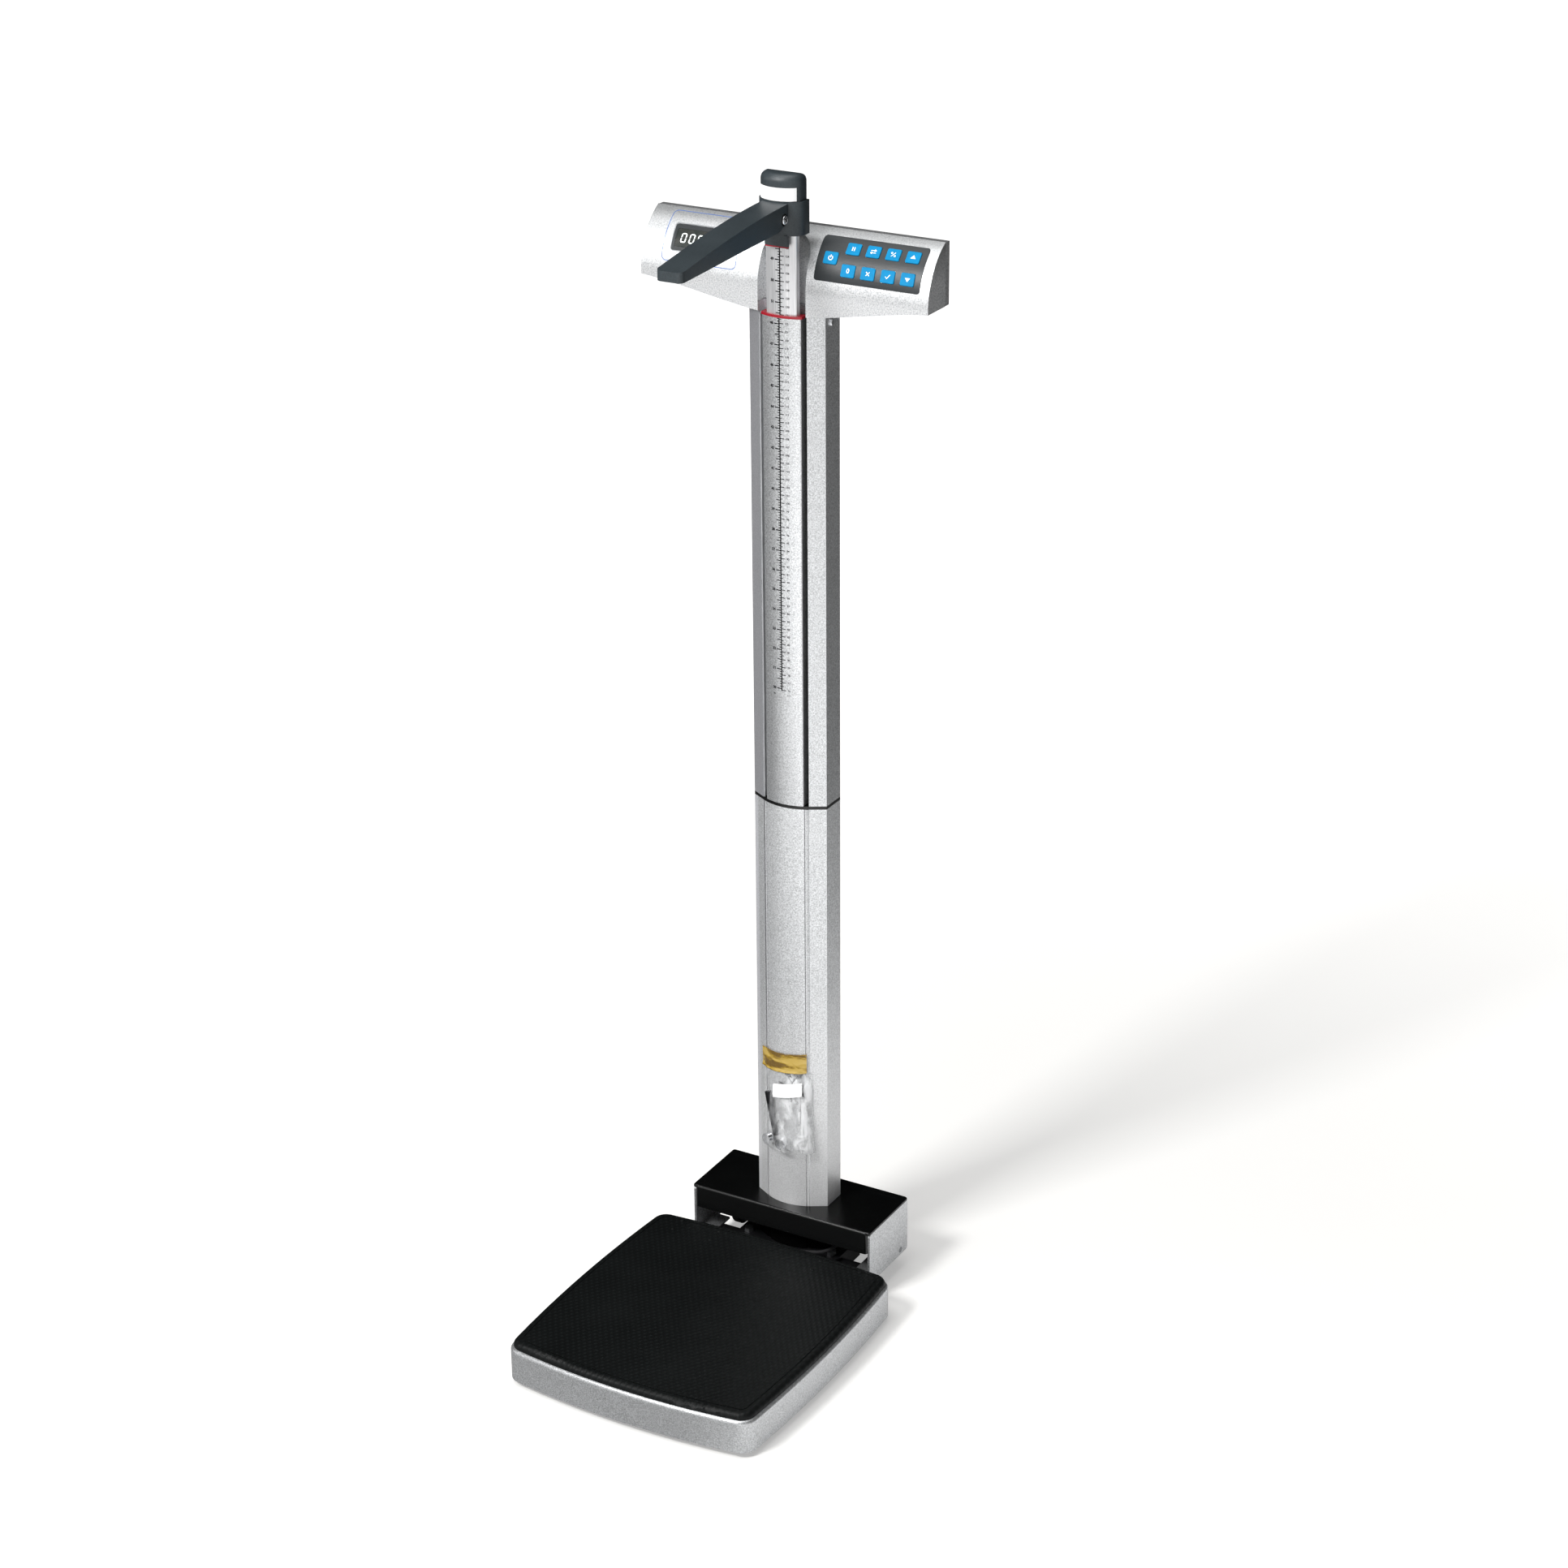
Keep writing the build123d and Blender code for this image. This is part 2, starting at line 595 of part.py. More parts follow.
# The arm is a shell open below, so that it folds down over the carriage's nose.
swing = LUG_R + 1.0
hollow_back = PIVOT_Y - swing + 1
hollow_tip = ARM_TIP_Y + ARM_TIP_R + 2
hollow_side = make_face(
    [
        Spline(
            (hollow_back, 1424 - ARM_WALL), (-133, 1415 - ARM_WALL), (hollow_tip, 1401.4 - ARM_WALL)
        ),
        Polyline(
            (hollow_tip, 1401.4 - ARM_WALL),
            (hollow_tip, 1380),
            (hollow_back, 1380),
            (hollow_back, 1424 - ARM_WALL),
        ),
    ]
)
arm -= extrude(Plane.YZ * hollow_side, ARM_HALF_W - ARM_WALL, both=True)
pocket_half = LUG_HALF_W + FIT
arm -= rod_x(swing, -pocket_half, pocket_half, PIVOT_Y, PIVOT_Z)
arm -= box(-pocket_half, pocket_half, PIVOT_Y, 1, PIVOT_Z - swing, PIVOT_Z + swing)
arm -= box(-pocket_half, pocket_half, PIVOT_Y - swing, 1, 1380, PIVOT_Z)
arm -= rod_x(PIN_R + PIN_GAP, -ARM_HALF_W - 1, ARM_HALF_W + 1, PIVOT_Y, PIVOT_Z)
arm -= Pos(0, -ROOT_GAP, CARRIAGE_BOTTOM) * extrude(carriage_outline, 60)
save("headpiece_arm", column_at(arm))
pin = rod_x(PIN_R, -ARM_HALF_W, ARM_HALF_W, PIVOT_Y, PIVOT_Z)
pin_head = rod_x(SCREW_HEAD_R, ARM_HALF_W, ARM_HALF_W + SCREW_HEAD_H, PIVOT_Y, PIVOT_Z)
pin_head = fillet(pin_head.edges().sort_by(Axis.X)[-1], 1.2)
save("pivot_screw", column_at(pin + pin_head))


# ---------------------------------------------------------------- head
def head_profile(grow=0.0, reach=0.0):
    """Side view of the head: upright front that bends back in an arc, level top, flat back."""
    front = HEAD_FRONT - grow
    axis_y = HEAD_FRONT + HEAD_R
    top = HEAD_TOP + min(grow, 0) + reach
    back = HEAD_BACK + min(grow, 0) + reach
    upright = rect(front, back, HEAD_BOTTOM[0][1] - 20, HEAD_BEND_Z)
    disc = Pos(axis_y, HEAD_BEND_Z) * Circle(HEAD_R + grow)
    return upright + (disc & rect(front, back, HEAD_BEND_Z, top))


def head_front_view(inset=0.0):
    """Front view of the head: straight ends and top, and a lower edge that dips to the column."""
    half = HEAD_W / 2 - inset
    edge = (*HEAD_BOTTOM, (HEAD_W / 2, HEAD_END_BOTTOM))
    points = [(x, z + inset) for x, z in edge]
    dip = Spline(*points)
    top = HEAD_TOP + 10
    lines = Polyline(points[-1], (HEAD_W / 2, top), (0, top), (0, points[0][1]), points[0])
    half_view = make_face([dip, lines])
    view = half_view + mirror(half_view, about=Plane.YZ)
    return view & rect(-half, half, HEAD_BOTTOM[0][1] - 30, top)


def head_body(inset=0.0):
    """Solid head, or the space inside walls of thickness inset."""
    side = extrude(Plane.YZ * head_profile(-inset), HEAD_W / 2 - inset, both=True)
    front = extrude(Plane.XZ * head_front_view(inset), HEAD_BACK * 2, both=True)
    return side & front


def above_face(outer, inner, x_range, z_range, radius):
    """Patch of skin on the head's front, between two offsets of it, with rounded corners."""
    x0, x1 = x_range
    z0, z1 = z_range
    skin = head_profile(outer, 30) - head_profile(inner, 40)
    outline = Pos((x0 + x1) / 2, (z0 + z1) / 2) * RectangleRounded(x1 - x0, z1 - z0, radius)
    window = extrude(Plane.XZ * outline, HEAD_SEAM + 20)
    window = Pos(0, HEAD_SEAM, 0) * window
    return extrude(Plane.YZ * skin, HEAD_W / 2, both=True) & window


def slot_prism(grow=0.0):
    """Recess for the rod and its carriage: rounded top, open below and in front."""
    half = SLOT_HALF_W + grow
    low = HEAD_BOTTOM[0][1] - 20
    outline = rect(-half, half, low, SLOT_TOP + grow)
    outline = fillet(outline.vertices().group_by(Axis.Y)[-1], SLOT_R + grow)
    depth = Polyline(
        (-20, low),
        (SLOT_DEPTH_Y + grow, low),
        (SLOT_DEPTH_Y + grow, SLOT_RAMP_Z),
        (SLOT_RAMP_Y + grow, SLOT_TOP + grow),
        (-20, SLOT_TOP + grow),
        close=True,
    )
    side = extrude(Plane.YZ * make_face(depth), half, both=True)
    return side & extrude(Plane.XZ * outline, HEAD_BACK, both=True)


def key_place(z):
    """Plane on the head's face at height z: x across, y up the face, z outward."""
    axis_y = HEAD_FRONT + HEAD_R
    rise = max(z - HEAD_BEND_Z, 0)
    angle = math.asin(rise / HEAD_R)
    y = axis_y - HEAD_R * math.cos(angle)
    normal = (0, -math.cos(angle), math.sin(angle))
    return Plane(origin=(0, y, z), x_dir=(1, 0, 0), z_dir=normal)


def key_block(x, z, grow, low, high):
    """Rounded block square to the head's face at (x, z), from low to high along its normal."""
    outline = RectangleRounded(KEY_W + 2 * grow, KEY_H + 2 * grow, KEY_R + grow)
    return extrude(key_place(z) * Pos(x, 0, low) * outline, high - low)


key_spots = {"key_power": POWER_KEY}
upper_keys = ("key_hold", "key_unit", "key_bmi", "key_up")
lower_keys = ("key_zero", "key_clear", "key_enter", "key_down")
for names, z in zip((upper_keys, lower_keys), KEY_ROWS):
    key_spots.update({name: (x, z) for name, x in zip(names, KEY_COLUMNS)})

outer = head_body()
hollow_head = outer - head_body(HEAD_WALL)
shell = hollow_head + (slot_prism(SLOT_WALL) & outer) - slot_prism()
column_clear = extrude(offset(envelope(), FIT, kind=Kind.INTERSECTION), 40)
column_clear = Pos(0, 0, COLUMN_TOP - 39.5) * column_clear
shell -= column_clear
seam_cut = box(-HEAD_W, HEAD_W, HEAD_SEAM, HEAD_SEAM + 100, 1200, 1500)
front_shell = shell - seam_cut
bezel_hole = [(a + 0.8, b - 0.8) for a, b in (BEZEL_X, BEZEL_Z)]
bezel_reach = [(a + 0.9, b - 0.9) for a, b in (BEZEL_X, BEZEL_Z)]
front_shell -= above_face(3, -HEAD_WALL - 2, *bezel_hole, BEZEL_R - 0.8)
for x, z in key_spots.values():
    front_shell -= key_block(x, z, KEY_GAP, -KEY_ROOT - KEY_TRAVEL - 0.2, 5)
save("head_front_shell", column_at(front_shell))

back_plan = rect(-HEAD_W / 2 + HEAD_BACK_INSET, HEAD_W / 2 - HEAD_BACK_INSET, 0, HEAD_BACK)
back_plan = fillet(back_plan.vertices().group_by(Axis.Y)[-1], HEAD_BACK_R)
back_side = rect(HEAD_SEAM, HEAD_BACK, 1200, HEAD_TOP - HEAD_BACK_INSET)
back_side = fillet(back_side.vertices().group_by(Axis.Y)[-1].group_by(Axis.X)[-1], HEAD_BACK_R)
back_limits = Pos(0, 0, 1200) * extrude(back_plan, 300)
back_limits &= extrude(Plane.YZ * back_side, HEAD_W / 2, both=True)
back_shell = shell & back_limits
seam_line = box(-HEAD_W, HEAD_W, HEAD_SEAM, HEAD_SEAM + SEAM_GAP, 1200, 1500)
back_shell -= (outer - head_body(SEAM_GAP)) & seam_line

# Door opening, inlet, posts and screw bosses of the back shell.
door_back = HEAD_BACK - HEAD_WALL
back_shell -= box(*DOOR_X, HEAD_BACK - 6, HEAD_BACK + 1, *DOOR_Z)
ledge_outer = [v + side * DOOR_LEDGE for v, side in zip((*DOOR_X, *DOOR_Z), (-1, 1, -1, 1))]
ledge_inner = [v - side * DOOR_LEDGE for v, side in zip((*DOOR_X, *DOOR_Z), (-1, 1, -1, 1))]
ledge_y = (door_back - DOOR_LEDGE_T, door_back)
back_shell += box(*ledge_outer[:2], *ledge_y, *ledge_outer[2:])
back_shell -= box(*ledge_inner[:2], HEAD_SEAM, HEAD_BACK, *ledge_inner[2:])
back_shell -= box(*INLET_X, HEAD_BACK - 6, HEAD_BACK + 1, *INLET_Z)
for x, z in HEAD_SCREWS:
    back_shell += rod_y(4.5, x, HEAD_SEAM + 2, door_back, z)
    back_shell -= rod_y(1.6, x, HEAD_SEAM, HEAD_BACK + 1, z)
    back_shell -= rod_y(3.8, x, HEAD_BACK - 1.8, HEAD_BACK + 1, z)
for x, z in PCB_POSTS:
    back_shell += rod_y(3.0, x, PCB_Y + BOARD_T, door_back, z)
save("head_back_shell", column_at(back_shell))

door_x = (DOOR_X[0] + FIT, DOOR_X[1] - FIT)
door_z = (DOOR_Z[0] + FIT, DOOR_Z[1] - FIT)
door = box(*door_x, door_back, HEAD_BACK - HEAD_BACK_INSET + 0.5, *door_z)
door = fillet(door.edges().filter_by(Axis.Y), 1.0)
for step in range(3):
    z = DOOR_Z[0] + 6 + 3 * step
    door -= box(DOOR_X[0] + 46, DOOR_X[0] + 66, HEAD_BACK - 0.7, HEAD_BACK + 1, z, z + 1.2)
save("battery_door", column_at(door))

cell_y = door_back - DOOR_LEDGE_T - 0.3 - BATTERY_R
row_h = 2 * BATTERY_R + 0.4
first_z = DOOR_Z[0] + DOOR_LEDGE + BATTERY_R - 3
batteries = [
    rod_x(BATTERY_R, x, x + BATTERY_L, cell_y, first_z + row * row_h)
    for row in range(BATTERY_ROWS)
    for x in (DOOR_X[0] + 5, DOOR_X[0] + 5.6 + BATTERY_L)
]
save("battery_cells", *[column_at(cell) for cell in batteries])
tray_x = (DOOR_X[0] + 2, DOOR_X[0] + 8.6 + 2 * BATTERY_L)
tray_z = (first_z - BATTERY_R - 2, first_z + (BATTERY_ROWS - 1) * row_h + BATTERY_R + 2)
tray_y = (cell_y - BATTERY_R - 1.8, door_back - DOOR_LEDGE_T)
tray = box(*tray_x, *tray_y, *tray_z)
tray -= box(
    tray_x[0] + 1.5, tray_x[1] - 1.5, tray_y[0] + 1.5, tray_y[1] + 1, tray_z[0] + 1.5, tray_z[1] - 1.5
)
save("battery_tray", column_at(tray))

inlet_x, inlet_z = sum(INLET_X) / 2, sum(INLET_Z) / 2
inlet = box(
    INLET_X[0] + FIT, INLET_X[1] - FIT, HEAD_BACK - 11, HEAD_BACK - 0.8, INLET_Z[0] + FIT, INLET_Z[1] - FIT
)
inlet -= rod_y(2.8, inlet_x, HEAD_BACK - 9, HEAD_BACK, inlet_z)
inlet += rod_y(0.9, inlet_x, HEAD_BACK - 10, HEAD_BACK - 2, inlet_z)
save("power_inlet", column_at(inlet))

# The head's bracket is a tongue in the column's rear chamber.
tongue_half = spigot_half - 0.2
tab_front = SLOT_DEPTH_Y + SLOT_WALL + 1.2
bracket = box(
    -tongue_half, tongue_half, spigot_back - PLATE_T, spigot_back, BRACKET_FOOT, BRACKET_HEAD
)
for side in (-1, 1):
    tab_x = sorted((side * tongue_half, side * (tongue_half - PLATE_T)))
    bracket += box(*tab_x, tab_front, spigot_back, BRACKET_FOOT, COLUMN_TOP + 16)
    bracket -= rod_x(1.6, *sorted((side * 40, side * 52)), SCREW_Y, SCREW_Z)
save("head_bracket", column_at(bracket))

side_screws = []
for side in (-1, 1):
    wall = side * COLUMN_W / 2
    screw = rod_x(4.0, *sorted((wall, wall + side * 2.4)), SCREW_Y, SCREW_Z)
    screw = chamfer(screw.edges().sort_by(Axis.X)[-1 if side > 0 else 0], 1.0)
    side_screws.append(column_at(screw + rod_x(1.5, *sorted((side * 44, wall)), SCREW_Y, SCREW_Z)))
save("column_screws", *side_screws)
back_screws = [
    rod_y(3.4, x, HEAD_BACK - 1.8, HEAD_BACK - 0.7, z)
    + rod_y(1.5, x, HEAD_SEAM + 3, HEAD_BACK - 1.8, z)
    for x, z in HEAD_SCREWS
]
save("head_screws", *[column_at(screw) for screw in back_screws])

# ---------------------------------------------------------------- keypad and display
overlay = above_face(KEYPAD_T, GLUE_T, KEYPAD_X, KEYPAD_Z, KEYPAD_R)
for x, z in key_spots.values():
    overlay -= key_block(x, z, KEY_GAP, -5, 5)
save("keypad_overlay", column_at(overlay))
for name, (x, z) in key_spots.items():
    key = extrude(RectangleRounded(KEY_W, KEY_H, KEY_R), KEY_ROOT + KEYPAD_T + KEY_PROUD)
    key = chamfer(key.edges().group_by(Axis.Z)[-1], 0.5)
    save(name, column_at(key_place(z).location * Pos(x, 0, -KEY_ROOT) * key))

bezel = above_face(BEZEL_T, 0, BEZEL_X, BEZEL_Z, BEZEL_R)
bezel += above_face(0.1, -HEAD_WALL, *bezel_reach, BEZEL_R - 0.9)
opening_x = (BEZEL_X[0] + BEZEL_BAND, BEZEL_X[1] - BEZEL_BAND)
opening_z = (BEZEL_Z[0] + BEZEL_BAND, BEZEL_Z[1] - BEZEL_BAND)
bezel -= above_face(3, -HEAD_WALL - 2, opening_x, opening_z, 1.5)
save("display_bezel", column_at(bezel))
pane_x = (opening_x[0] + 0.1, opening_x[1] - 0.1)
pane_z = (opening_z[0] + 0.1, opening_z[1] - 0.1)
save(
    "display_window", column_at(above_face(WINDOW_T / 2, -WINDOW_T / 2, pane_x, pane_z, 1.4))
)
module = Pos(0, 0, -8.0) * extrude(RectangleRounded(76, 27, 1), 3.8)
module += Pos(0, 0, -4.4) * extrude(RectangleRounded(66, 17, 1), 2.6)
module_at = key_place(MODULE_Z).location * Pos(sum(BEZEL_X) / 2, 0, 0)
save("lcd_module", column_at(module_at * module))

board = box(*PCB_X, PCB_Y, PCB_Y + BOARD_T, *PCB_Z)
socket_z = (CABLE_TOP - 6, CABLE_TOP + 6)
board += box(PCB_X[0], PCB_X[0] + 10, SCREW_Y - 4, PCB_Y, *socket_z)
board += box(PCB_X[0] + 40, PCB_X[0] + 62, PCB_Y - 2, PCB_Y, 1335, 1357)
board += box(inlet_x - 6, inlet_x + 6, PCB_Y - 5, PCB_Y, PCB_Z[0] + 1, PCB_Z[0] + 10)
save("circuit_board", column_at(board))

# ---------------------------------------------------------------- base
plate_rear = SPINE_REAR - COLUMN_Y
half_plate = FOOT_PLATE_W / 2
foot_plate = box(-half_plate, half_plate, -2, plate_rear, frame_top, frame_top + FOOT_PLATE_T)
foot_plate = fillet(foot_plate.edges().filter_by(Axis.Z), 6)
bolt_spots = [(side * BOLT_X, y) for side in (-1, 1) for y in BOLT_YS]
for x, y in bolt_spots:
    foot_plate -= rod_z(4.2, x, y, frame_top - 1, COLUMN_BOTTOM + 1)
save("column_foot", column_at(foot_plate))
bolts = []
for x, y in bolt_spots:
    hexagon = Pos(x, y, COLUMN_BOTTOM) * extrude(RegularPolygon(BOLT_HEAD_R, 6), BOLT_HEAD_H)
    bolts.append(column_at(hexagon + rod_z(4.0, x, y, frame_top, COLUMN_BOTTOM)))
save("foot_bolts", *bolts)

side_plates = []
for side in (-1, 1):
    plate_x = sorted((side * BRACKET_X, side * (BRACKET_X + BRACKET_T)))
    flange_x = sorted((side * BRACKET_X, side * (BRACKET_X - BRACKET_FLANGE)))
    plate = box(*plate_x, BRACKET_FRONT, BRACKET_REAR, BRACKET_BOTTOM, BRACKET_TOP)
    plate = fillet(plate.edges().filter_by(Axis.X), 5)
    flange_rear = OUTRIGGER_Y + RAIL_BAR / 2 + 14 - COLUMN_Y
    plate += box(*flange_x, BRACKET_FRONT + 5, flange_rear, frame_top, frame_top + BRACKET_T)
    plate -= rod_x(AXLE_R + 0.05, plate_x[0] - 1, plate_x[1] + 1, WHEEL_Y, WHEEL_Z)
    side_plates.append(column_at(plate))
save("base_bracket", *side_plates)

half_cover = BRACKET_X - FIT
cover_box = box(-half_cover, half_cover, COVER_FRONT, COVER_REAR, COVER_BOTTOM, COVER_TOP)
cover_box = fillet(cover_box.edges().filter_by(Axis.Z), COVER_R)
cover_box = fillet(cover_box.edges().group_by(Axis.Z)[-1], COVER_R - 1)
wall = COVER_WALL
cover_box -= fillet(
    box(
        -half_cover + wall,
        half_cover - wall,
        COVER_FRONT + wall,
        COVER_REAR - wall,
        COVER_BOTTOM - 1,
        COVER_TOP - wall,
    ).edges().filter_by(Axis.Z),
    COVER_R - wall,
)
passage = offset(envelope(), COVER_GAP, kind=Kind.INTERSECTION)
cover_box -= Pos(0, 0, COVER_BOTTOM - 1) * extrude(passage, COVER_TOP - COVER_BOTTOM + 2)
save("base_cover", column_at(cover_box))

axle = rod_x(AXLE_R, -BRACKET_X - BRACKET_T, BRACKET_X + BRACKET_T, WHEEL_Y, WHEEL_Z)
half_wheel = WHEEL_W / 2
for side in (-1, 1):
    outer_stop = sorted((side * (WHEEL_X + half_wheel + FIT), side * BRACKET_X))
    inner_stop = sorted((side * (WHEEL_X - half_wheel - FIT), side * (WHEEL_X - half_wheel - 4)))
    axle += rod_x(AXLE_R + 3, *outer_stop, WHEEL_Y, WHEEL_Z)
    axle += rod_x(AXLE_R + 3, *inner_stop, WHEEL_Y, WHEEL_Z)
save("wheel_axle", column_at(axle))

bore = AXLE_R + AXLE_GAP
wheel_section = rect(bore, WHEEL_R, -half_wheel, half_wheel)
wheel_section = chamfer(wheel_section.vertices().group_by(Axis.X)[-1], 2.0)
wheel_section -= rect(bore + 5, WHEEL_R - 6, half_wheel - 2.5, half_wheel + 1)
wheel_section -= rect(bore + 5, WHEEL_R - 6, -half_wheel - 1, -half_wheel + 2.5)
wheel = revolve(Plane.XZ * wheel_section, Axis.Z)
for name, side in (("wheel_left", -1), ("wheel_right", 1)):
    save(name, column_at(Pos(side * WHEEL_X, WHEEL_Y, WHEEL_Z) * Rot(0, 90, 0) * wheel))

# Signal cable: from the summing board up the column's rear chamber to the circuit board.
start_z = frame_top + 7
route = [
    (0, board_y + 11, start_z),
    (0, platform_rear + 8, start_z),
    (COLUMN_W / 2 + 17, platform_rear + 12, CABLE_LOW),
    (COLUMN_W / 2 + 17, COLUMN_Y + SCREW_Y, CABLE_LOW),
    (CABLE_X, COLUMN_Y + SCREW_Y, CABLE_LOW),
    (CABLE_X, COLUMN_Y + SCREW_Y, CABLE_TOP),
    (PCB_X[0], COLUMN_Y + SCREW_Y, CABLE_TOP),
]


def bend_radius(before, corner, after):
    """Largest arc that leaves a tenth of the shorter run beside the corner straight."""
    a, b = Vector(*before) - Vector(*corner), Vector(*after) - Vector(*corner)
    turn = math.radians(180 - a.get_angle(b))
    return min(0.45 * min(a.length, b.length) / math.tan(turn / 2), 30)


radii = [bend_radius(*route[i - 1 : i + 2]) for i in range(1, len(route) - 1)]
path = FilletPolyline(*route, radius=radii)
start = Plane(origin=path @ 0, z_dir=path % 0)
cable = sweep(start * Circle(CABLE_R), path=path)
save("signal_cable", cable)

# ---------------------------------------------------------------- accessory bag
skin_r = FACE_R + BAG_SKIN_GAP
bag_front = [
    (0, TAPE_Z + 40),
    (0, BAG_TOP + 2),
    (BAG_LIP_T, BAG_TOP),
    (BAG_LIP_T, BAG_TOP - 6),
    (BAG_BULGE - 5, BAG_TOP - 28),
    (BAG_BULGE, BAG_BOTTOM + 20),
    (BAG_BULGE - 4, BAG_BOTTOM),
]


def around_column(points):
    """Ring turned about the axis of the column's face, from (distance out, z) points."""
    profile = make_face(Polyline(*[(skin_r + out, z) for out, z in points], close=True))
    return Pos(0, FACE_R) * revolve(Plane.XZ * profile, Axis.Z)


def on_bag(low, high):
    """Skin between two distances from the front of the bag and of the column above it."""
    lower_side = [(out + low, z) for out, z in bag_front]
    return around_column(lower_side + [(out + high, z) for out, z in reversed(bag_front)])


f = BAG_FILM
bag_outline = [(0, BAG_BOTTOM), (0, BAG_TOP), *bag_front[2:]]
pocket_outline = [(f, BAG_BOTTOM + f), (f, BAG_TOP - 6), *[(o - f, z) for o, z in bag_front[4:6]]]
pocket_outline.append((bag_front[6][0] - f, BAG_BOTTOM + f))
bag_limits = box(-BAG_HALF_W, BAG_HALF_W, -40, FACE_R / 2, BAG_BOTTOM - 1, BAG_TOP + 2)
pocket_limits = box(-BAG_HALF_W + f, BAG_HALF_W - f, -40, FACE_R / 2, BAG_BOTTOM - 1, BAG_TOP + 2)
bag = around_column(bag_outline) & bag_limits
bag -= around_column(pocket_outline) & pocket_limits
mouth_slit = [(f, BAG_TOP - 8), (f, BAG_TOP + 1), (BAG_LIP_T - f, BAG_TOP + 1), (BAG_LIP_T - f, BAG_TOP - 8)]
bag -= around_column(mouth_slit) & pocket_limits
save("accessory_bag", column_at(bag))

card_cut = Pos(CARD_X, 0, CARD_Z) * Rot(0, -CARD_TILT, 0) * Box(CARD_W, FACE_R, CARD_H)
save("bag_card", column_at(on_bag(0.1, 0.35) & (Pos(0, -FACE_R / 2 + 10, 0) * card_cut)))
tape_cut = Pos(0, 0, TAPE_Z) * Rot(0, -TAPE_TILT, 0) * Box(2 * BAG_HALF_W, FACE_R, TAPE_H)
save("bag_tape", column_at(on_bag(0.1, 0.1 + TAPE_T) & (Pos(0, -FACE_R / 2 + 15, 0) * tape_cut)))


def in_bag(x, out, z):
    """Place on the column's face at x, standing out from it; local z points outward."""
    angle = math.degrees(math.asin(x / FACE_R))
    return Pos(0, FACE_R, z) * Rot(0, 0, angle) * Pos(0, -skin_r - out, 0) * Rot(90, 0, 0)


hexagon = RegularPolygon(KEY_BAR_AF / 2, 6, major_radius=False)
shank = Pos(0, -KEY_BAR_L / 2, 0) * Rot(-90, 0, 0) * extrude(hexagon, KEY_BAR_L)
save("hex_key", column_at(in_bag(-16, 5.5, 232) * Rot(0, 0, 14) * shank))
spares = []
for x in (-21, -1.5):
    stub = Cylinder(BOLT_R, 7) + Pos(0, 0, -5) * Cylinder(BOLT_R * 0.55, 3)
    spares.append(column_at(in_bag(x, 8.0, BAG_BOTTOM + BOLT_R + 2) * stub))
save("spare_bolts", *spares)
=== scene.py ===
"""Physician scale: finishes, printed rules, display and key marks, the accessory bag's film and
tape, and the studio that it stands in.

Everything is in metres in the part's own frame: floor at z = 0, the person steps on from -Y,
and +X is to the right of someone who faces the display.
"""

import json
import math

import bmesh
import bpy
from bpy.props import FloatProperty, FloatVectorProperty, IntProperty, PointerProperty
from mathutils import Matrix, Vector, noise


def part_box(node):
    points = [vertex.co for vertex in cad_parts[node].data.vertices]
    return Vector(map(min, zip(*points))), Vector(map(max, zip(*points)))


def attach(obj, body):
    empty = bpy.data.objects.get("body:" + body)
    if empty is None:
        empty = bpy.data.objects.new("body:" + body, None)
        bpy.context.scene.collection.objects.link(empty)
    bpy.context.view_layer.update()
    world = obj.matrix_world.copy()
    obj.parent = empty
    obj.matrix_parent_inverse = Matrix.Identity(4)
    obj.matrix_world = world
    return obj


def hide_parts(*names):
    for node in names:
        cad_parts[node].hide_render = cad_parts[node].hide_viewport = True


bl_info = {
    "name": "Physician Scale",
    "version": (1, 0, 0),
    "blender": (4, 5, 0),
    "location": "3D View > Sidebar > Scale",
    "description": "Finishes, rule print, display, keys, accessory bag and studio of a physician scale",
    "category": "Object",
}

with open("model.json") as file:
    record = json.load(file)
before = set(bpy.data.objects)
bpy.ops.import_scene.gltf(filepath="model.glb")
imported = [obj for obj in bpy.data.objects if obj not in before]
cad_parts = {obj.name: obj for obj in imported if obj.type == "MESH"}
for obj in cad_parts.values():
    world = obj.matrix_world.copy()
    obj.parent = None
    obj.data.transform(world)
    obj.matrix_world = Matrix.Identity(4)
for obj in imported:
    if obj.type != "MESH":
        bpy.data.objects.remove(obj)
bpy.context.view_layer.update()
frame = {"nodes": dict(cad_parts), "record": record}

# ---------------------------------------------------------------- places taken from the frame
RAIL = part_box("height_rail")
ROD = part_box("inner_rod")
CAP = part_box("rod_cap")
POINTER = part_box("pointer_line")
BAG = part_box("accessory_bag")
FACE_R = 0.0645  # radius of the rule's and the column's front
FACE_AXIS_Y = RAIL[0].y + FACE_R
ROD_FACE_R = FACE_AXIS_Y - ROD[0].y
HEAD_BEND_Z = 1.3175  # the head's front bends back above this height
HEAD_R = 0.0806
HEAD_FRONT_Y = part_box("head_front_shell")[0].y
CAP_NOSE = 0.020  # depth of the cap's rounded front
PRINT_T = 0.00006  # thickness of ink
PRINT_LIFT = 0.00005  # ink's clearance to the surface under it
INCH = 0.0254
CM = 0.01


def on_drum(radius, lift=PRINT_LIFT):
    """Lays flat (x, z, out) work on the upright round face of the given radius."""

    def place(x, z, out):
        turn = x / radius
        r = radius + lift + out
        return Vector((r * math.sin(turn), FACE_AXIS_Y - r * math.cos(turn), z))

    return place


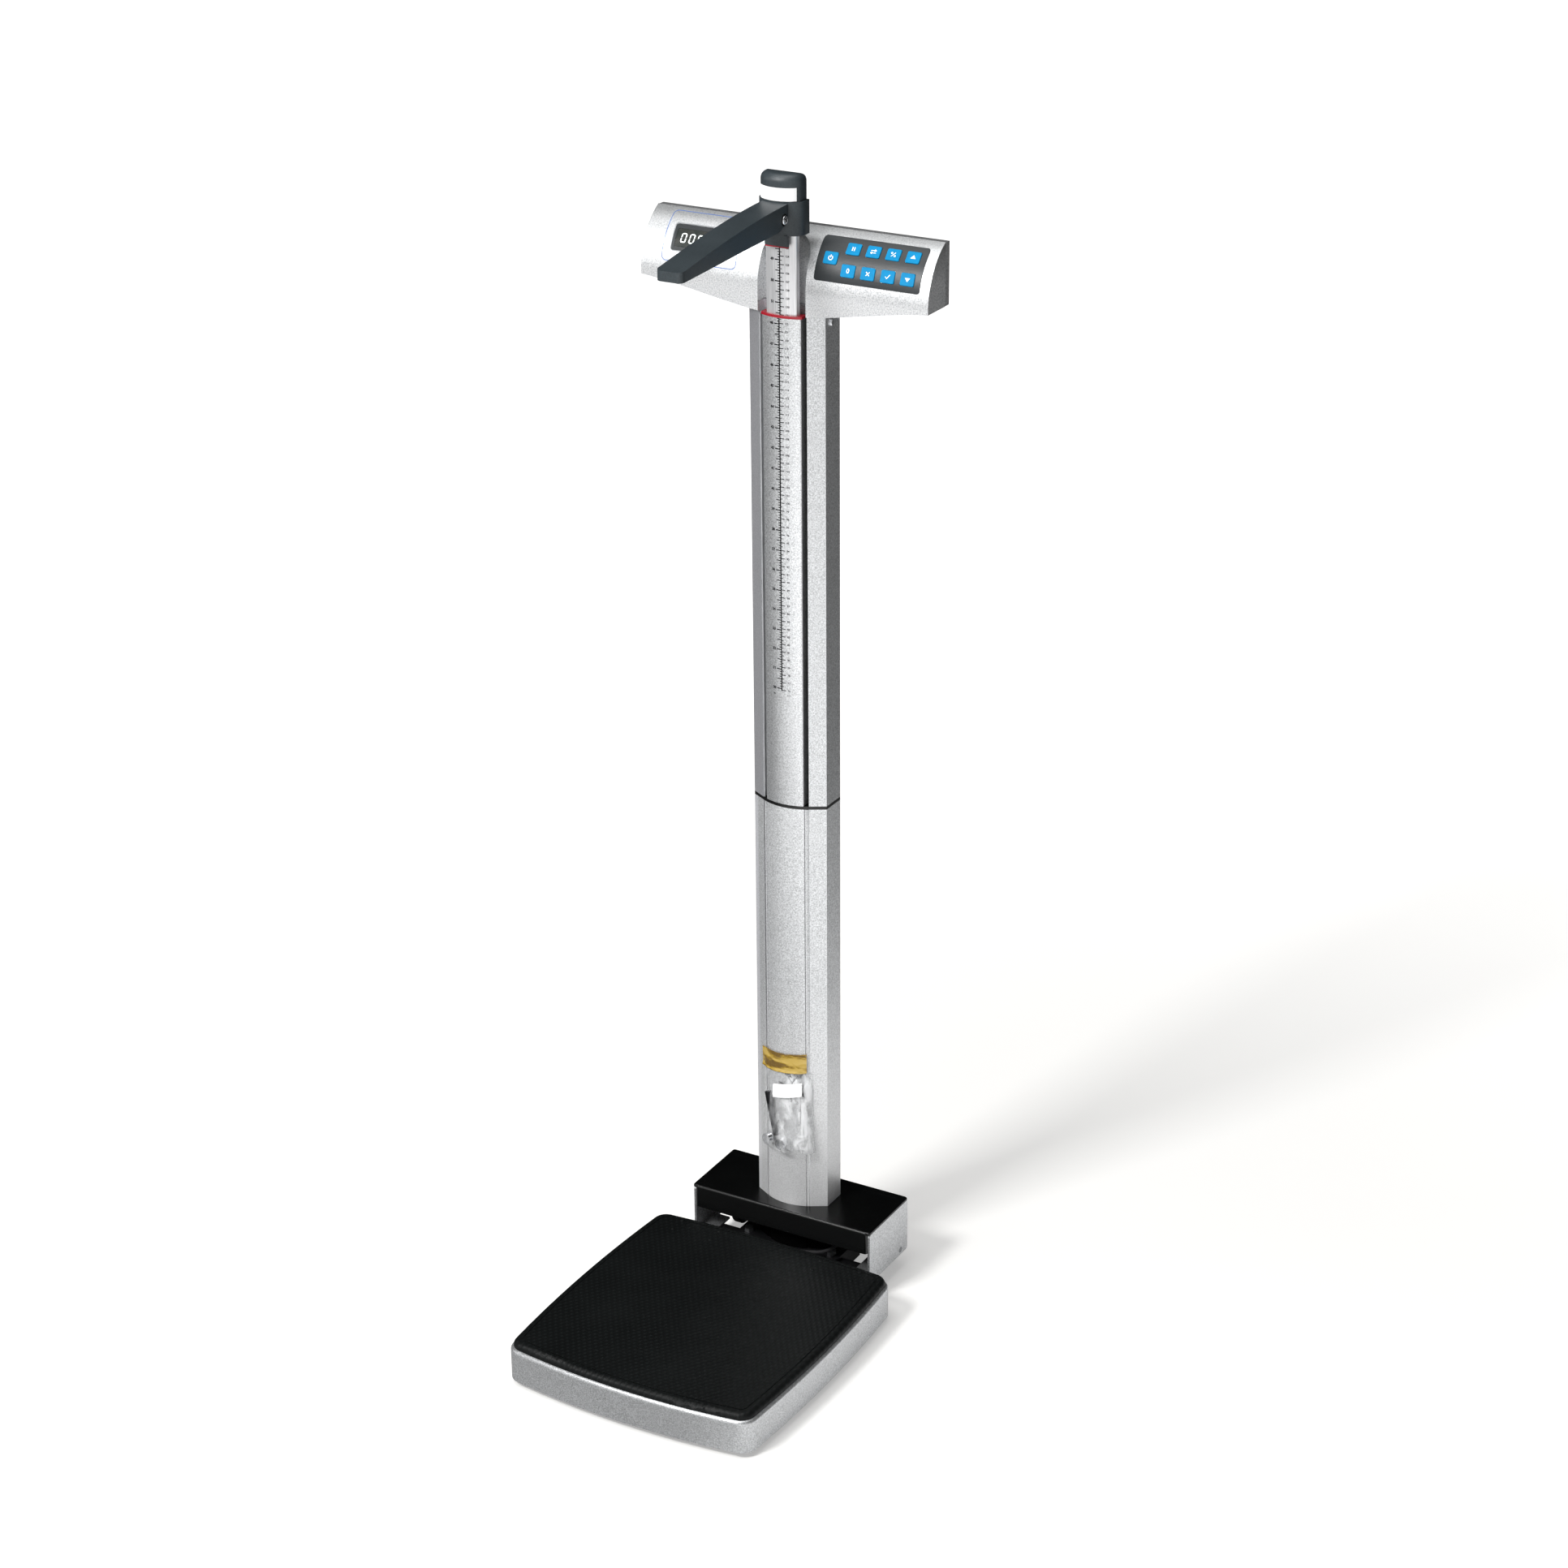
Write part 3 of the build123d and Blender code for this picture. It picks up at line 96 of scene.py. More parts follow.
def on_head(x, z, out):
    """Lays flat (x, z, out) work on the head's front, which bends back above the bend line."""
    turn = max(z - HEAD_BEND_Z, 0.0) / HEAD_R
    r = HEAD_R + PRINT_LIFT + out
    y = HEAD_FRONT_Y + HEAD_R - r * math.cos(turn)
    return Vector((x, y, min(z, HEAD_BEND_Z) + r * math.sin(turn)))


def head_turn(z):
    """How far the head's front has bent back at height z."""
    return math.asin(max(z - HEAD_BEND_Z, 0.0) / HEAD_R)


def head_arc(z):
    """Distance along the head's face, from z = 0, of the line at height z."""
    return min(z, HEAD_BEND_Z) + HEAD_R * head_turn(z)


# ---------------------------------------------------------------- settings
def setting(kind, name, about, default, **facts):
    return kind(name=name, description=about, default=default, **facts)


def tint(name, about, default):
    return setting(FloatVectorProperty, name, about, default, subtype="COLOR", size=3)


def length(name, about, default, **limits):
    return setting(FloatProperty, name, about, default, subtype="DISTANCE", **limits)


def angle(name, about, degrees):
    return setting(FloatProperty, name, about, math.radians(degrees), subtype="ANGLE")


def number(name, about, default, **limits):
    return setting(FloatProperty, name, about, default, **limits)


def whole(name, about, default):
    return setting(IntProperty, name, about, default)


class ScaleFinishes(bpy.types.PropertyGroup):
    """Colours of the scale's finishes."""

    paint: tint("Silver paint", "Base colour of the metallic paint", (0.62, 0.63, 0.64))
    mat: tint("Mat", "Colour of the ribbed rubber mat", (0.002, 0.0026, 0.0026))
    plastic: tint(
        "Carriage", "Colour of the carriage, its cap and the headpiece", (0.022, 0.029, 0.033)
    )
    keys: tint("Keys", "Colour of the key caps", (0.0, 0.21, 0.44))
    collar: tint("Collar", "Colour of the collar and of the pointer line", (0.24, 0.006, 0.014))
    grain: length(
        "Paint grain", "Size of one fleck of the metallic paint", 0.0013, min=0.0002, max=0.01
    )


class ScaleRule(bpy.types.PropertyGroup):
    """Sizes of the printed height scales."""

    first_cm: whole("First centimetre", "Lowest mark of the rule", 76)
    last_cm: whole("Last centimetre", "Highest mark of the rule", 122)
    first_inch: whole("First inch", "Lowest inch of the rule", 30)
    last_inch: whole("Last inch", "Highest inch of the rule", 48)
    rod_cm: whole("Rod centimetres", "Last mark of the rod", 213)
    rod_inch: whole("Rod inches", "Last inch of the rod", 83)
    zero: length("Platform height", "Height of the mat, from which the rule counts", 0.06)
    at_pointer: number(
        "Reading at the pointer",
        "Centimetres that the rod shows at the pointer with the carriage raised",
        122.8,
    )
    cm_size: length("Centimetre figures", "Size of the figures beside the centimetres", 0.0034)
    inch_size: length("Inch figures", "Size of the figures beside the inches", 0.0046)
    line_w: length("Centre line", "Width of the line between the two scales", 0.0015)
    tick_w: length("Mark width", "Width of one mark", 0.001)
    inch_tick: length("Inch mark", "Length of an inch's mark", 0.006)
    cm_tick: length("Centimetre mark", "Length of a centimetre's mark", 0.0046)


class ScaleBag(bpy.types.PropertyGroup):
    """Sizes of the accessory bag's film and tape."""

    half_width: length("Half width", "Half the bag's width", 0.0375)
    creases: length("Creases", "Depth of the film's creases", 0.0022)
    seed: whole("Seed", "Seed of the creases", 4)
    tape_tilt: angle("Tape tilt", "Slope of the tape", 5)


class ScaleStage(bpy.types.PropertyGroup):
    """Camera, floor and light."""

    eye: FloatVectorProperty(
        name="Camera place",
        description="Where the camera stands",
        default=(1.9397, -3.2335, 2.4102),
        subtype="TRANSLATION",
        size=3,
    )
    azimuth: angle("Azimuth", "Camera's turn round the scale", 29.743)
    elevation: angle("Elevation", "Camera's height above the horizon", 23.695)
    roll: angle("Roll", "Camera's roll", -0.451)
    lens: number("Lens", "Focal length, mm on a 36 mm sensor", 79.696)
    key_power: number("Key light", "Power of the key light, W", 125.0)
    key_size: length("Key size", "Width of the key light", 0.9)
    top_power: number("Top light", "Power of the overhead light, W", 60.0)
    side_power: number("Side light", "Power of the left light, W", 8.0)
    room: number("Room", "Brightness of the room round the stage", 1.0)
    bounce: number("Bounce", "Light that the floor in front throws back", 1.75)
    ahead: number("Ahead", "Brightness of the room in front", 1.0)
    behind: number("Behind", "Brightness of the room behind", 0.02)
    overhead: number("Overhead", "Brightness of the ceiling", 0.25)
    floor_tone: number("Floor", "Lightness of the floor", 0.8, min=0.0, max=1.0)
    floor_glow: number("Floor glow", "Evenness of the floor's white", 0.36)


# ---------------------------------------------------------------- node trees
MIX_A, MIX_B, MIX_RESULT = 6, 7, 2  # the colour sockets of a mix node


class Nodes:
    """A node tree under construction."""

    def __init__(self, tree):
        self.tree = tree
        tree.nodes.clear()

    def feed(self, socket, value):
        """Sets a socket to a constant, or links an output to it."""
        if isinstance(value, bpy.types.NodeSocket):
            self.tree.links.new(value, socket)
        else:
            socket.default_value = value

    def add(self, kind, feeds=(), **settings):
        """A node with its settings, and with what its sockets are fed."""
        made = self.tree.nodes.new(kind)
        for key, value in settings.items():
            setattr(made, key, value)
        for socket, value in dict(feeds).items():
            self.feed(made.inputs[socket], value)
        return made

    def math(self, operation, a, b=0.0):
        return self.add("ShaderNodeMath", {0: a, 1: b}, operation=operation).outputs[0]

    def product(self, first, *others):
        """All the given values multiplied."""
        for other in others:
            first = self.math("MULTIPLY", first, other)
        return first

    def axes(self, source):
        """The X, Y and Z outputs of a vector."""
        return self.add("ShaderNodeSeparateXYZ", {0: source}).outputs

    def ranged(self, source, start, end, from_value=0.0, to_value=1.0):
        """From the first value at start to the second at end, smoothly."""
        if start > end:
            start, end, from_value, to_value = end, start, to_value, from_value
        feeds = {"Value": source, "From Min": start, "From Max": end}
        feeds.update({"To Min": from_value, "To Max": to_value})
        return self.add("ShaderNodeMapRange", feeds, interpolation_type="SMOOTHSTEP").outputs[0]

    def ramp(self, source, *stops):
        """Colours or greys at positions along a 0 to 1 value."""
        made = self.add("ShaderNodeValToRGB", {0: source})
        elements = made.color_ramp.elements
        while len(elements) < len(stops):
            elements.new(0.5)
        for element, (position, colour) in zip(elements, stops):
            element.position = position
            grey = (colour,) * 3 if isinstance(colour, float) else colour
            element.color = (*grey, 1.0)
        return made.outputs[0]

    def mix(self, amount, a, b):
        """Blend of two colours or colour outputs by an output."""
        a, b = ((*side, 1.0) if isinstance(side, tuple) else side for side in (a, b))
        feeds = {0: amount, MIX_A: a, MIX_B: b}
        return self.add("ShaderNodeMix", feeds, data_type="RGBA").outputs[MIX_RESULT]


# ---------------------------------------------------------------- materials
class Finish(Nodes):
    """A node material under construction, with the object coordinates to hand."""

    def __init__(self, name, **values):
        self.material = bpy.data.materials.get(name) or bpy.data.materials.new(name)
        self.material.use_nodes = True
        super().__init__(self.material.node_tree)
        self.shader = self.add("ShaderNodeBsdfPrincipled")
        self.add("ShaderNodeOutputMaterial", {0: self.shader.outputs[0]})
        self.place = self.add("ShaderNodeTexCoord").outputs["Object"]
        for key, value in values.items():
            self.set(key.replace("_", " "), value)

    def set(self, label, value):
        """Feeds a socket of the shader."""
        self.feed(self.shader.inputs[label], value)

    def noise(self, scale, detail=2.0, stretch=(1, 1, 1), rough=0.5):
        """Noise over the object, scale per metre, stretched by a factor along each axis."""
        mapped = self.add("ShaderNodeMapping", {"Vector": self.place, "Scale": stretch})
        feeds = {"Vector": mapped.outputs[0], "Scale": scale, "Detail": detail, "Roughness": rough}
        return self.add("ShaderNodeTexNoise", feeds).outputs["Fac"]

    def colour(self, source):
        self.set("Base Color", source)

    def roughness(self, source, low, high):
        feeds = {"Value": source, "To Min": low, "To Max": high}
        self.set("Roughness", self.add("ShaderNodeMapRange", feeds).outputs[0])

    def bump(self, source, height):
        made = self.add("ShaderNodeBump", {"Height": source, "Distance": height})
        self.set("Normal", made.outputs[0])

    def toned(self, across, painted, start, end, amount, tone):
        """The paint blended towards a tone at one end of a direction, fading over a length."""
        along = self.math("DIVIDE", self.math("SUBTRACT", across, start), end - start)
        return self.mix(self.ramp(along, (0.0, amount), (1.0, 0.0)), painted, tone)


def shade(colour, factor):
    return tuple(min(1.0, c * factor) for c in colour)


def chosen(colour):
    """The colour itself, or the setting of that name."""
    if isinstance(colour, str):
        return tuple(getattr(bpy.context.scene.scale_finishes, colour))
    return colour


def grained(name, grain, dark, light, rough, depth=0.0, edge=0.3, **values):
    """A finish whose two tones, roughness and fine relief all follow one grain."""
    f = Finish(name, **values)
    cells = f.noise(*grain)
    f.colour(f.ramp(cells, (edge, dark), (1.0 - edge, light)))
    f.roughness(cells, *rough)
    if depth:
        f.bump(cells, depth)
    return f.material


def silver_paint(name="silver_paint", tone=1.0, metal=0.84, vary=None):
    """Metallic paint: fine bright and dark flecks under a thin clear coat.

    vary(finish, paint) can change the paint by its place on the piece.
    """
    base = shade(chosen("paint"), tone)
    f = Finish(name, Metallic=metal, Coat_Weight=0.08, Coat_Roughness=0.3)
    flecks = f.noise(0.8 / bpy.context.scene.scale_finishes.grain, 2.0, rough=0.6)
    clouds = f.ramp(f.noise(5.0, 1.0), (0.3, 0.0), (0.7, 0.25))
    speckled = f.ramp(flecks, (0.32, shade(base, 0.66)), (0.5, base), (0.68, shade(base, 1.35)))
    painted = f.mix(clouds, speckled, shade(base, 0.95))
    f.colour(vary(f, painted) if vary else painted)
    f.roughness(flecks, 0.3, 0.4)
    f.bump(flecks, 0.00002)
    return f.material


WING_HIGHLIGHT = (0.9, 0.9, 0.95)


def column_paint():
    """The upper column's paint, with a painted highlight on its left wing."""
    wing_x, face_x = -0.034, -0.027

    def vary(f, painted):
        # painted highlight: paler towards the left wing
        return f.toned(f.axes(f.place)["X"], painted, wing_x, face_x, 0.65, WING_HIGHLIGHT)

    return silver_paint("column_paint", vary=vary)


def post_paint():
    """The lower column's flatter silver paint, with painted shade towards its left edge and on the foot
    below the cover, and painted light on its left wing and towards its foot.
    """
    edge_x, wing_x, face_x = -0.051, -0.046, -0.043
    shadow_z, light_z, plain_z = 0.0703, 0.1, 0.42

    def vary(f, painted):
        place = f.axes(f.place)
        # painted shade: darker towards the left edge
        painted = f.toned(place["X"], painted, edge_x, 0.0, 0.2, (0.06, 0.065, 0.065))
        # painted highlight: paler on the left wing
        painted = f.toned(place["X"], painted, wing_x, face_x, 0.5, WING_HIGHLIGHT)
        # painted light: lighter towards the foot
        painted = f.toned(place["Z"], painted, light_z, plain_z, 0.6, (1.0, 1.0, 1.0))
        # painted shade: black, without metal or sheen, on the foot below the cover
        above = f.math("GREATER_THAN", place["Z"], shadow_z)
        f.set("Metallic", f.product(above, 0.45))
        f.set("Specular IOR Level", f.product(above, 0.5))
        return f.mix(f.math("SUBTRACT", 1.0, above), painted, (0.002, 0.002, 0.002))

    return silver_paint("post_paint", 1.02, 0.45, vary)


def head_paint():
    """The head's silver paint, brightened as painted light and darker towards the top edge of the face
    as painted shade.
    """
    low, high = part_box("head_front_shell")

    def vary(f, painted):
        # painted shade: darker towards the top edge of the face
        rise = f.math("SUBTRACT", f.axes(f.place)["Z"], low.z)
        top_shade = f.ramp(f.product(rise, 1.0 / (high.z - low.z)), (0.55, 0.0), (0.95, 0.62))
        return f.mix(top_shade, painted, (0.12, 0.125, 0.125))

    # brighter than the plain silver paint, as painted light
    return silver_paint("head_paint", 1.32, 0.74, vary)


def platform_paint():
    """The platform cover's silver paint, a little darker than the rest as painted shade."""
    # painted shade: a darker copy of the silver paint
    return silver_paint("platform_paint", 0.9, 0.74)


def anodised_aluminium():
    """Drawn and anodised rod, with fine lines along its length."""
    grain, dark, light = (900.0, 3.0, (1, 1, 0.02)), (0.62, 0.63, 0.64), (0.86, 0.86, 0.87)
    return grained(
        "anodised_aluminium", grain, dark, light, (0.26, 0.42), 0.00003, Metallic=0.75
    )


def ribbed_mat():
    """Black rubber with a fine embossed diamond pattern and a dusty bloom."""
    base = chosen("mat")
    f = Finish("ribbed_mat", Specular_IOR_Level=0.2)

    def ribs(slope):
        turned = f.add("ShaderNodeMapping", {"Vector": f.place, "Rotation": (0, 0, slope)})
        feeds = {"Vector": turned.outputs[0], "Scale": 46.0, "Distortion": 0.0}
        settings = {"wave_type": "BANDS", "bands_direction": "X"}
        return f.add("ShaderNodeTexWave", feeds, **settings).outputs["Fac"]

    diamonds = f.product(ribs(0.6), ribs(-0.6))
    bloom = f.noise(14.0, 4.0)
    worn = f.mix(f.ramp(bloom, (0.35, 0.0), (0.75, 0.6)), base, shade(base, 1.9))
    f.colour(f.mix(f.ramp(diamonds, (0.25, 0.0), (0.8, 1.0)), worn, shade(base, 2.6)))
    f.roughness(bloom, 0.42, 0.6)
    f.bump(f.math("ADD", diamonds, f.product(f.noise(1400.0, 3.0), 0.35)), 0.00035)
    return f.material


def moulded_plastic(name, base, low, high, texture=0.00005, cells=1100.0):
    """Moulded plastic with a fine spark-eroded texture."""
    base = chosen(base)
    f = Finish(name, Specular_IOR_Level=0.5)
    grit = f.noise(cells, 3.0, rough=0.7)
    clouds = f.noise(22.0, 3.0)
    clouded = f.ramp(clouds, (0.3, shade(base, 0.85)), (0.7, shade(base, 1.1)))
    f.colour(f.mix(f.ramp(grit, (0.35, 0.0), (0.7, 0.8)), clouded, shade(base, 1.7)))
    f.roughness(clouds, low, high)
    f.bump(grit, texture)
    return f.material


def powder_coat():
    """Satin black coating of the steel parts, with orange peel."""
    dark, light = (0.004, 0.004, 0.0045), (0.009, 0.009, 0.01)
    return grained("powder_coat", (420.0, 2.0), dark, light, (0.36, 0.5), 0.0001)


def dull_rubber(name, base):
    """Rubber of the feet and wheels, greyer where dust sits."""
    f = Finish(name, Specular_IOR_Level=0.3)
    dust = f.noise(60.0, 5.0)
    f.colour(f.ramp(dust, (0.35, shade(base, 0.8)), (0.62, base), (0.8, shade(base, 2.2))))
    f.roughness(dust, 0.6, 0.85)
    f.bump(f.noise(900.0, 2.0), 0.00008)
    return f.material


def bright_metal(name, base, low, high, lines=600.0, stretch=(1, 1, 1)):
    """Bare or plated metal with a faint grain."""
    dark, light = shade(base, 0.85), shade(base, 1.08)
    return grained(name, (lines, 3.0, stretch), dark, light, (low, high), 0.00002, Metallic=1.0)


def key_cap():
    """Domed blue caps with painted shade on their sides."""
    base = chosen("keys")
    f = Finish("key_cap", Specular_IOR_Level=0.12)
    facing = {0: f.add("ShaderNodeNewGeometry").outputs["Normal"], 1: (0.0, -0.86, 0.5)}
    lit_facing = f.add("ShaderNodeVectorMath", facing, operation="DOT_PRODUCT").outputs["Value"]
    clouds = f.noise(160.0, 2.0)
    blue = f.ramp(clouds, (0.3, shade(base, 0.9)), (0.7, shade(base, 1.08)))
    # painted shade: darker where a face turns away from the front and top
    f.colour(f.mix(f.ramp(lit_facing, (0.55, 0.0), (0.75, 1.0)), shade(base, 0.55), blue))
    f.roughness(clouds, 0.45, 0.6)
    f.bump(f.noise(1500.0, 2.0), 0.00002)
    return f.material


def printed_ink(name, base):
    """Screen-printed ink, slightly uneven."""
    dark, light = shade(base, 0.9), shade(base, 1.1)
    return grained(name, (1800.0, 2.0), dark, light, (0.4, 0.6), Specular_IOR_Level=0.15)


def black_ink():
    """The ink of the rule and of the rod."""
    return printed_ink("black_ink", (0.004, 0.004, 0.005))


def clear_film():
    """Thin polythene: nearly clear where it is flat, with painted highlights along its creases and
    towards its right side.
    """
    f = Finish("clear_film", Base_Color=(0.95, 0.96, 0.97, 1.0), Specular_IOR_Level=0.9)
    creases = f.noise(80.0, 3.0, stretch=(1.0, 1.0, 0.5), rough=0.5)
    fine = f.noise(240.0, 3.0)
    along = f.product(f.math("ADD", f.axes(f.place)["X"], 0.008), 50.0)
    crease_highlights = f.ramp(creases, (0.42, 0.08), (0.5, 0.26), (0.6, 0.68))
    # painted highlight: whiter along the creases and towards the right side
    f.set("Alpha", f.product(crease_highlights, f.ramp(along, (0.0, 0.2), (1.0, 1.0))))
    f.roughness(fine, 0.08, 0.24)
    f.bump(f.math("ADD", creases, f.product(fine, 0.08)), 0.0012)
    return f.material


def amber_tape():
    """Amber film tape: creased and glossy, with painted shade in its folds where it lifts off the
    paint.
    """
    f = Finish("amber_tape", Coat_Weight=0.6, Coat_Roughness=0.08, Alpha=0.94)
    folds = f.noise(52.0, 4.0, stretch=(0.4, 1.0, 1.6), rough=0.6)
    # painted shade: darker in the folds, where the tape lifts off the paint
    stuck, loose_shaded, dark = (0.62, 0.43, 0.1), (0.44, 0.28, 0.035), (0.16, 0.085, 0.006)
    shaded_folds = f.ramp(folds, (0.47, stuck), (0.52, loose_shaded), (0.58, dark))
    specks = f.ramp(f.noise(700.0, 2.0), (0.4, 0.0), (0.7, 0.15))
    f.colour(f.mix(specks, shaded_folds, (0.6, 0.42, 0.1)))
    f.roughness(folds, 0.16, 0.36)
    f.bump(folds, 0.0008)
    return f.material


def paper(name):
    """Uncoated white paper with faint fibre."""
    dark, light = (0.82, 0.82, 0.82), (0.93, 0.93, 0.93)
    return grained(
        name, (900.0, 4.0), dark, light, (0.6, 0.8), 0.00003, Specular_IOR_Level=0.2
    )


def solder_mask():
    """Green circuit board with a faint trace pattern."""
    dark, light = (0.01, 0.11, 0.04), (0.02, 0.2, 0.08)
    return grained("solder_mask", (320.0, 2.0), dark, light, (0.3, 0.45), edge=0.45)


def keypad_film():
    """Glossy black overlay of the keypad."""
    values = {"Specular_IOR_Level": 0.35, "Coat_Weight": 0.1, "Coat_Roughness": 0.3}
    dark, light = (0.008, 0.011, 0.013), (0.016, 0.02, 0.022)
    return grained("keypad_film", (1600.0, 2.0), dark, light, (0.3, 0.42), 0.00004, **values)


def display_glass():
    """Dark window of the display."""
    values = {"Coat_Weight": 0.8, "Coat_Roughness": 0.05}
    dark, light = (0.012, 0.02, 0.018), (0.03, 0.03, 0.026)
    return grained("display_glass", (90.0, 3.0), dark, light, (0.12, 0.25), **values)


def groove_liner():
    """Grey liner of the column's grooves, with painted shade in the right one above the joint."""
    f = Finish("groove_liner", Metallic=0.6)
    place = f.axes(f.place)
    above = f.math("GREATER_THAN", place["Z"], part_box("column_joiner")[0].z)
    right = f.math("GREATER_THAN", place["X"], 0.0)
    grain = f.noise(700.0, 2.0, stretch=(1, 1, 0.05))
    grey = f.ramp(grain, (0.3, (0.45, 0.46, 0.47)), (0.7, (0.6, 0.61, 0.62)))
    # painted shade: black in the right groove above the joint
    f.colour(f.mix(f.product(above, right), grey, (0.03, 0.035, 0.035)))
    f.roughness(grain, 0.35, 0.5)
    return f.material


# The function and arguments that make each slot's finish, and those of nodes with their own
FINISHES = {
    "silver_paint": (silver_paint,),
    "anodised_rod": (anodised_aluminium,),
    "black_mat": (ribbed_mat,),
    "black_steel": (powder_coat,),
    "black_plastic": (moulded_plastic, "black_plastic", (0.0012, 0.0014, 0.0014), 0.2, 0.3),
    "carriage_plastic": (moulded_plastic, "carriage_plastic", "plastic", 0.36, 0.5, 0.00008, 700.0),
    "red_plastic": (moulded_plastic, "red_plastic", "collar", 0.2, 0.3, 0.00002),
    "module_grey": (moulded_plastic, "module_grey", (0.2, 0.21, 0.22), 0.35, 0.5),
    "battery_wrap": (moulded_plastic, "battery_sleeve", (0.05, 0.05, 0.055), 0.2, 0.3, 0.00001),
    "foot_rubber": (dull_rubber, "foot_rubber", (0.02, 0.02, 0.02)),
    "wheel_rubber": (dull_rubber, "wheel_rubber", (0.016, 0.016, 0.017)),
    "cable_black": (dull_rubber, "cable_jacket", (0.02, 0.02, 0.021)),
    "zinc_steel": (bright_metal, "zinc_steel", (0.3, 0.31, 0.32), 0.35, 0.5, 260.0),
    "load_cell_metal": (
        bright_metal, "machined_alloy", (0.7, 0.71, 0.73), 0.25, 0.4, 900.0, (1, 0.05, 1)
    ),
    "chrome": (bright_metal, "chrome", (0.82, 0.83, 0.85), 0.05, 0.14, 300.0),
    "black_oxide": (bright_metal, "black_oxide", (0.03, 0.03, 0.033), 0.3, 0.45, 500.0),
    "keypad_gloss": (keypad_film,),
    "display_glass": (display_glass,),
    "key_blue": (key_cap,),
    "board_green": (solder_mask,),
    "clear_film": (clear_film,),
    "amber_tape": (amber_tape,),
    "white_card": (paper, "card"),
    "groove_liners": (groove_liner,),
    "platform_cover": (platform_paint,),
    "column_lower": (post_paint,),
    "column_upper": (column_paint,),
    "head_front_shell": (head_paint,),
}


def finish_of(key):
    """The one material of a slot or node, made on first use."""
    made = dict(bpy.context.scene.get("scale_materials") or {})
    if key not in made:
        make, *values = FINISHES[key]
        made[key] = make(*values).name
        bpy.context.scene["scale_materials"] = made
    return bpy.data.materials[made[key]]


# ---------------------------------------------------------------- mesh helpers
def placed(name, data):
    """A new object in the scene."""
    made = bpy.data.objects.new(name, data)
    bpy.context.scene.collection.objects.link(made)
    return made


def piece(name, mesh, material, body="scale_base"):
    """Puts a mesh in the scene as a piece that rides on a body."""
    mesh.name = name
    made = placed(name, mesh)
    made.data.materials.clear()
    made.data.materials.append(material)
    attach(made, body)
    return made


def lay(mesh, place):
    """Moves each vertex (x, z, out) of flat work to its place."""
    for vertex in mesh.vertices:
        vertex.co = place(*vertex.co)
    mesh.update()
    return mesh


def mesh_of(work):
    """The finished mesh of a work in hand, with its normals outward."""
    bmesh.ops.recalc_face_normals(work, faces=work.faces)
    mesh = bpy.data.meshes.new("mesh")
    work.to_mesh(mesh)
    work.free()
    return mesh


def joined(meshes):
    """One mesh from several, with doubles welded and normals outward."""
    work = bmesh.new()
    for mesh in meshes:
        work.from_mesh(mesh)
        bpy.data.meshes.remove(mesh)
    bmesh.ops.remove_doubles(work, verts=work.verts, dist=1e-7)
    return mesh_of(work)


def printed(name, meshes, place, material, body="scale_base"):
    """Flat work put in the scene as one piece, laid in its place."""
    return piece(name, lay(joined(meshes), place), material, body)


def lofted(rings, looped=False):
    """Closed mesh through rings of points, capped at both ends or looped round."""
    work = bmesh.new()
    loops = [[work.verts.new(point) for point in ring] for ring in rings]
    pairs = list(zip(loops, loops[1:]))
    if looped:
        pairs.append((loops[-1], loops[0]))
    else:
        work.faces.new(loops[-1])
        work.faces.new(list(reversed(loops[0])))
    for here, there in pairs:
        for i in range(len(here)):
            j = (i + 1) % len(here)
            work.faces.new((here[i], here[j], there[j], there[i]))
    return mesh_of(work)


def slab(outline, low=0.0, high=PRINT_T):
    """Closed plate in (x, z, out) over a flat outline, from low to high."""
    return lofted([[(x, z, out) for x, z in outline] for out in (low, high)])


def band(path, width, looped=False, low=0.0, high=PRINT_T):
    """Closed ribbon of a width along a flat path, in (x, z, out)."""
    sections = []
    for i, point in enumerate(path):
        before = path[i - 1] if looped or i else point
        after = path[(i + 1) % len(path)] if looped or i < len(path) - 1 else point
        along = (Vector(after) - Vector(before)).normalized()
        side = Vector((-along.y, along.x)) * width / 2
        a, b = Vector(point) - side, Vector(point) + side
        sections.append([(*a, low), (*b, low), (*b, high), (*a, high)])
    return lofted(sections, looped)


def arc(radius, start, end, parts=28, centre=(0.0, 0.0)):
    """Points on a circle, between two angles in degrees."""
    turns = [math.radians(start + (end - start) * k / parts) for k in range(parts + 1)]
    return [(centre[0] + radius * math.cos(t), centre[1] + radius * math.sin(t)) for t in turns]


def ring(radius, parts=28, centre=(0.0, 0.0)):
    """Points right round a circle, with none twice."""
    return arc(radius, 0, 360, parts, centre)[:-1]


def rounded_path(x0, x1, z0, z1, radius, step=0.004):
    """Points round a rectangle with rounded corners, close enough to follow a bent face."""
    left, right, low, high = x0 + radius, x1 - radius, z0 + radius, z1 - radius
    points = []
    for quarter, centre in enumerate(((right, high), (left, high), (left, low), (right, low))):
        points += arc(radius, 90 * quarter, 90 * quarter + 90, 6, centre)
    filled = []
    for here, after in zip(points, points[1:] + points[:1]):
        here, after = Vector(here), Vector(after)
        parts = max(1, int((after - here).length / step))
        filled += [tuple(here.lerp(after, k / parts)) for k in range(parts)]
    return filled


def evaluated(holder):
    """The plain mesh that an object comes to; the object itself is taken away."""
    bpy.context.view_layer.update()
    graph = bpy.context.evaluated_depsgraph_get()
    mesh = bpy.data.meshes.new_from_object(holder.evaluated_get(graph))
    holder.modifiers.clear()
    bpy.data.objects.remove(holder)
    return mesh


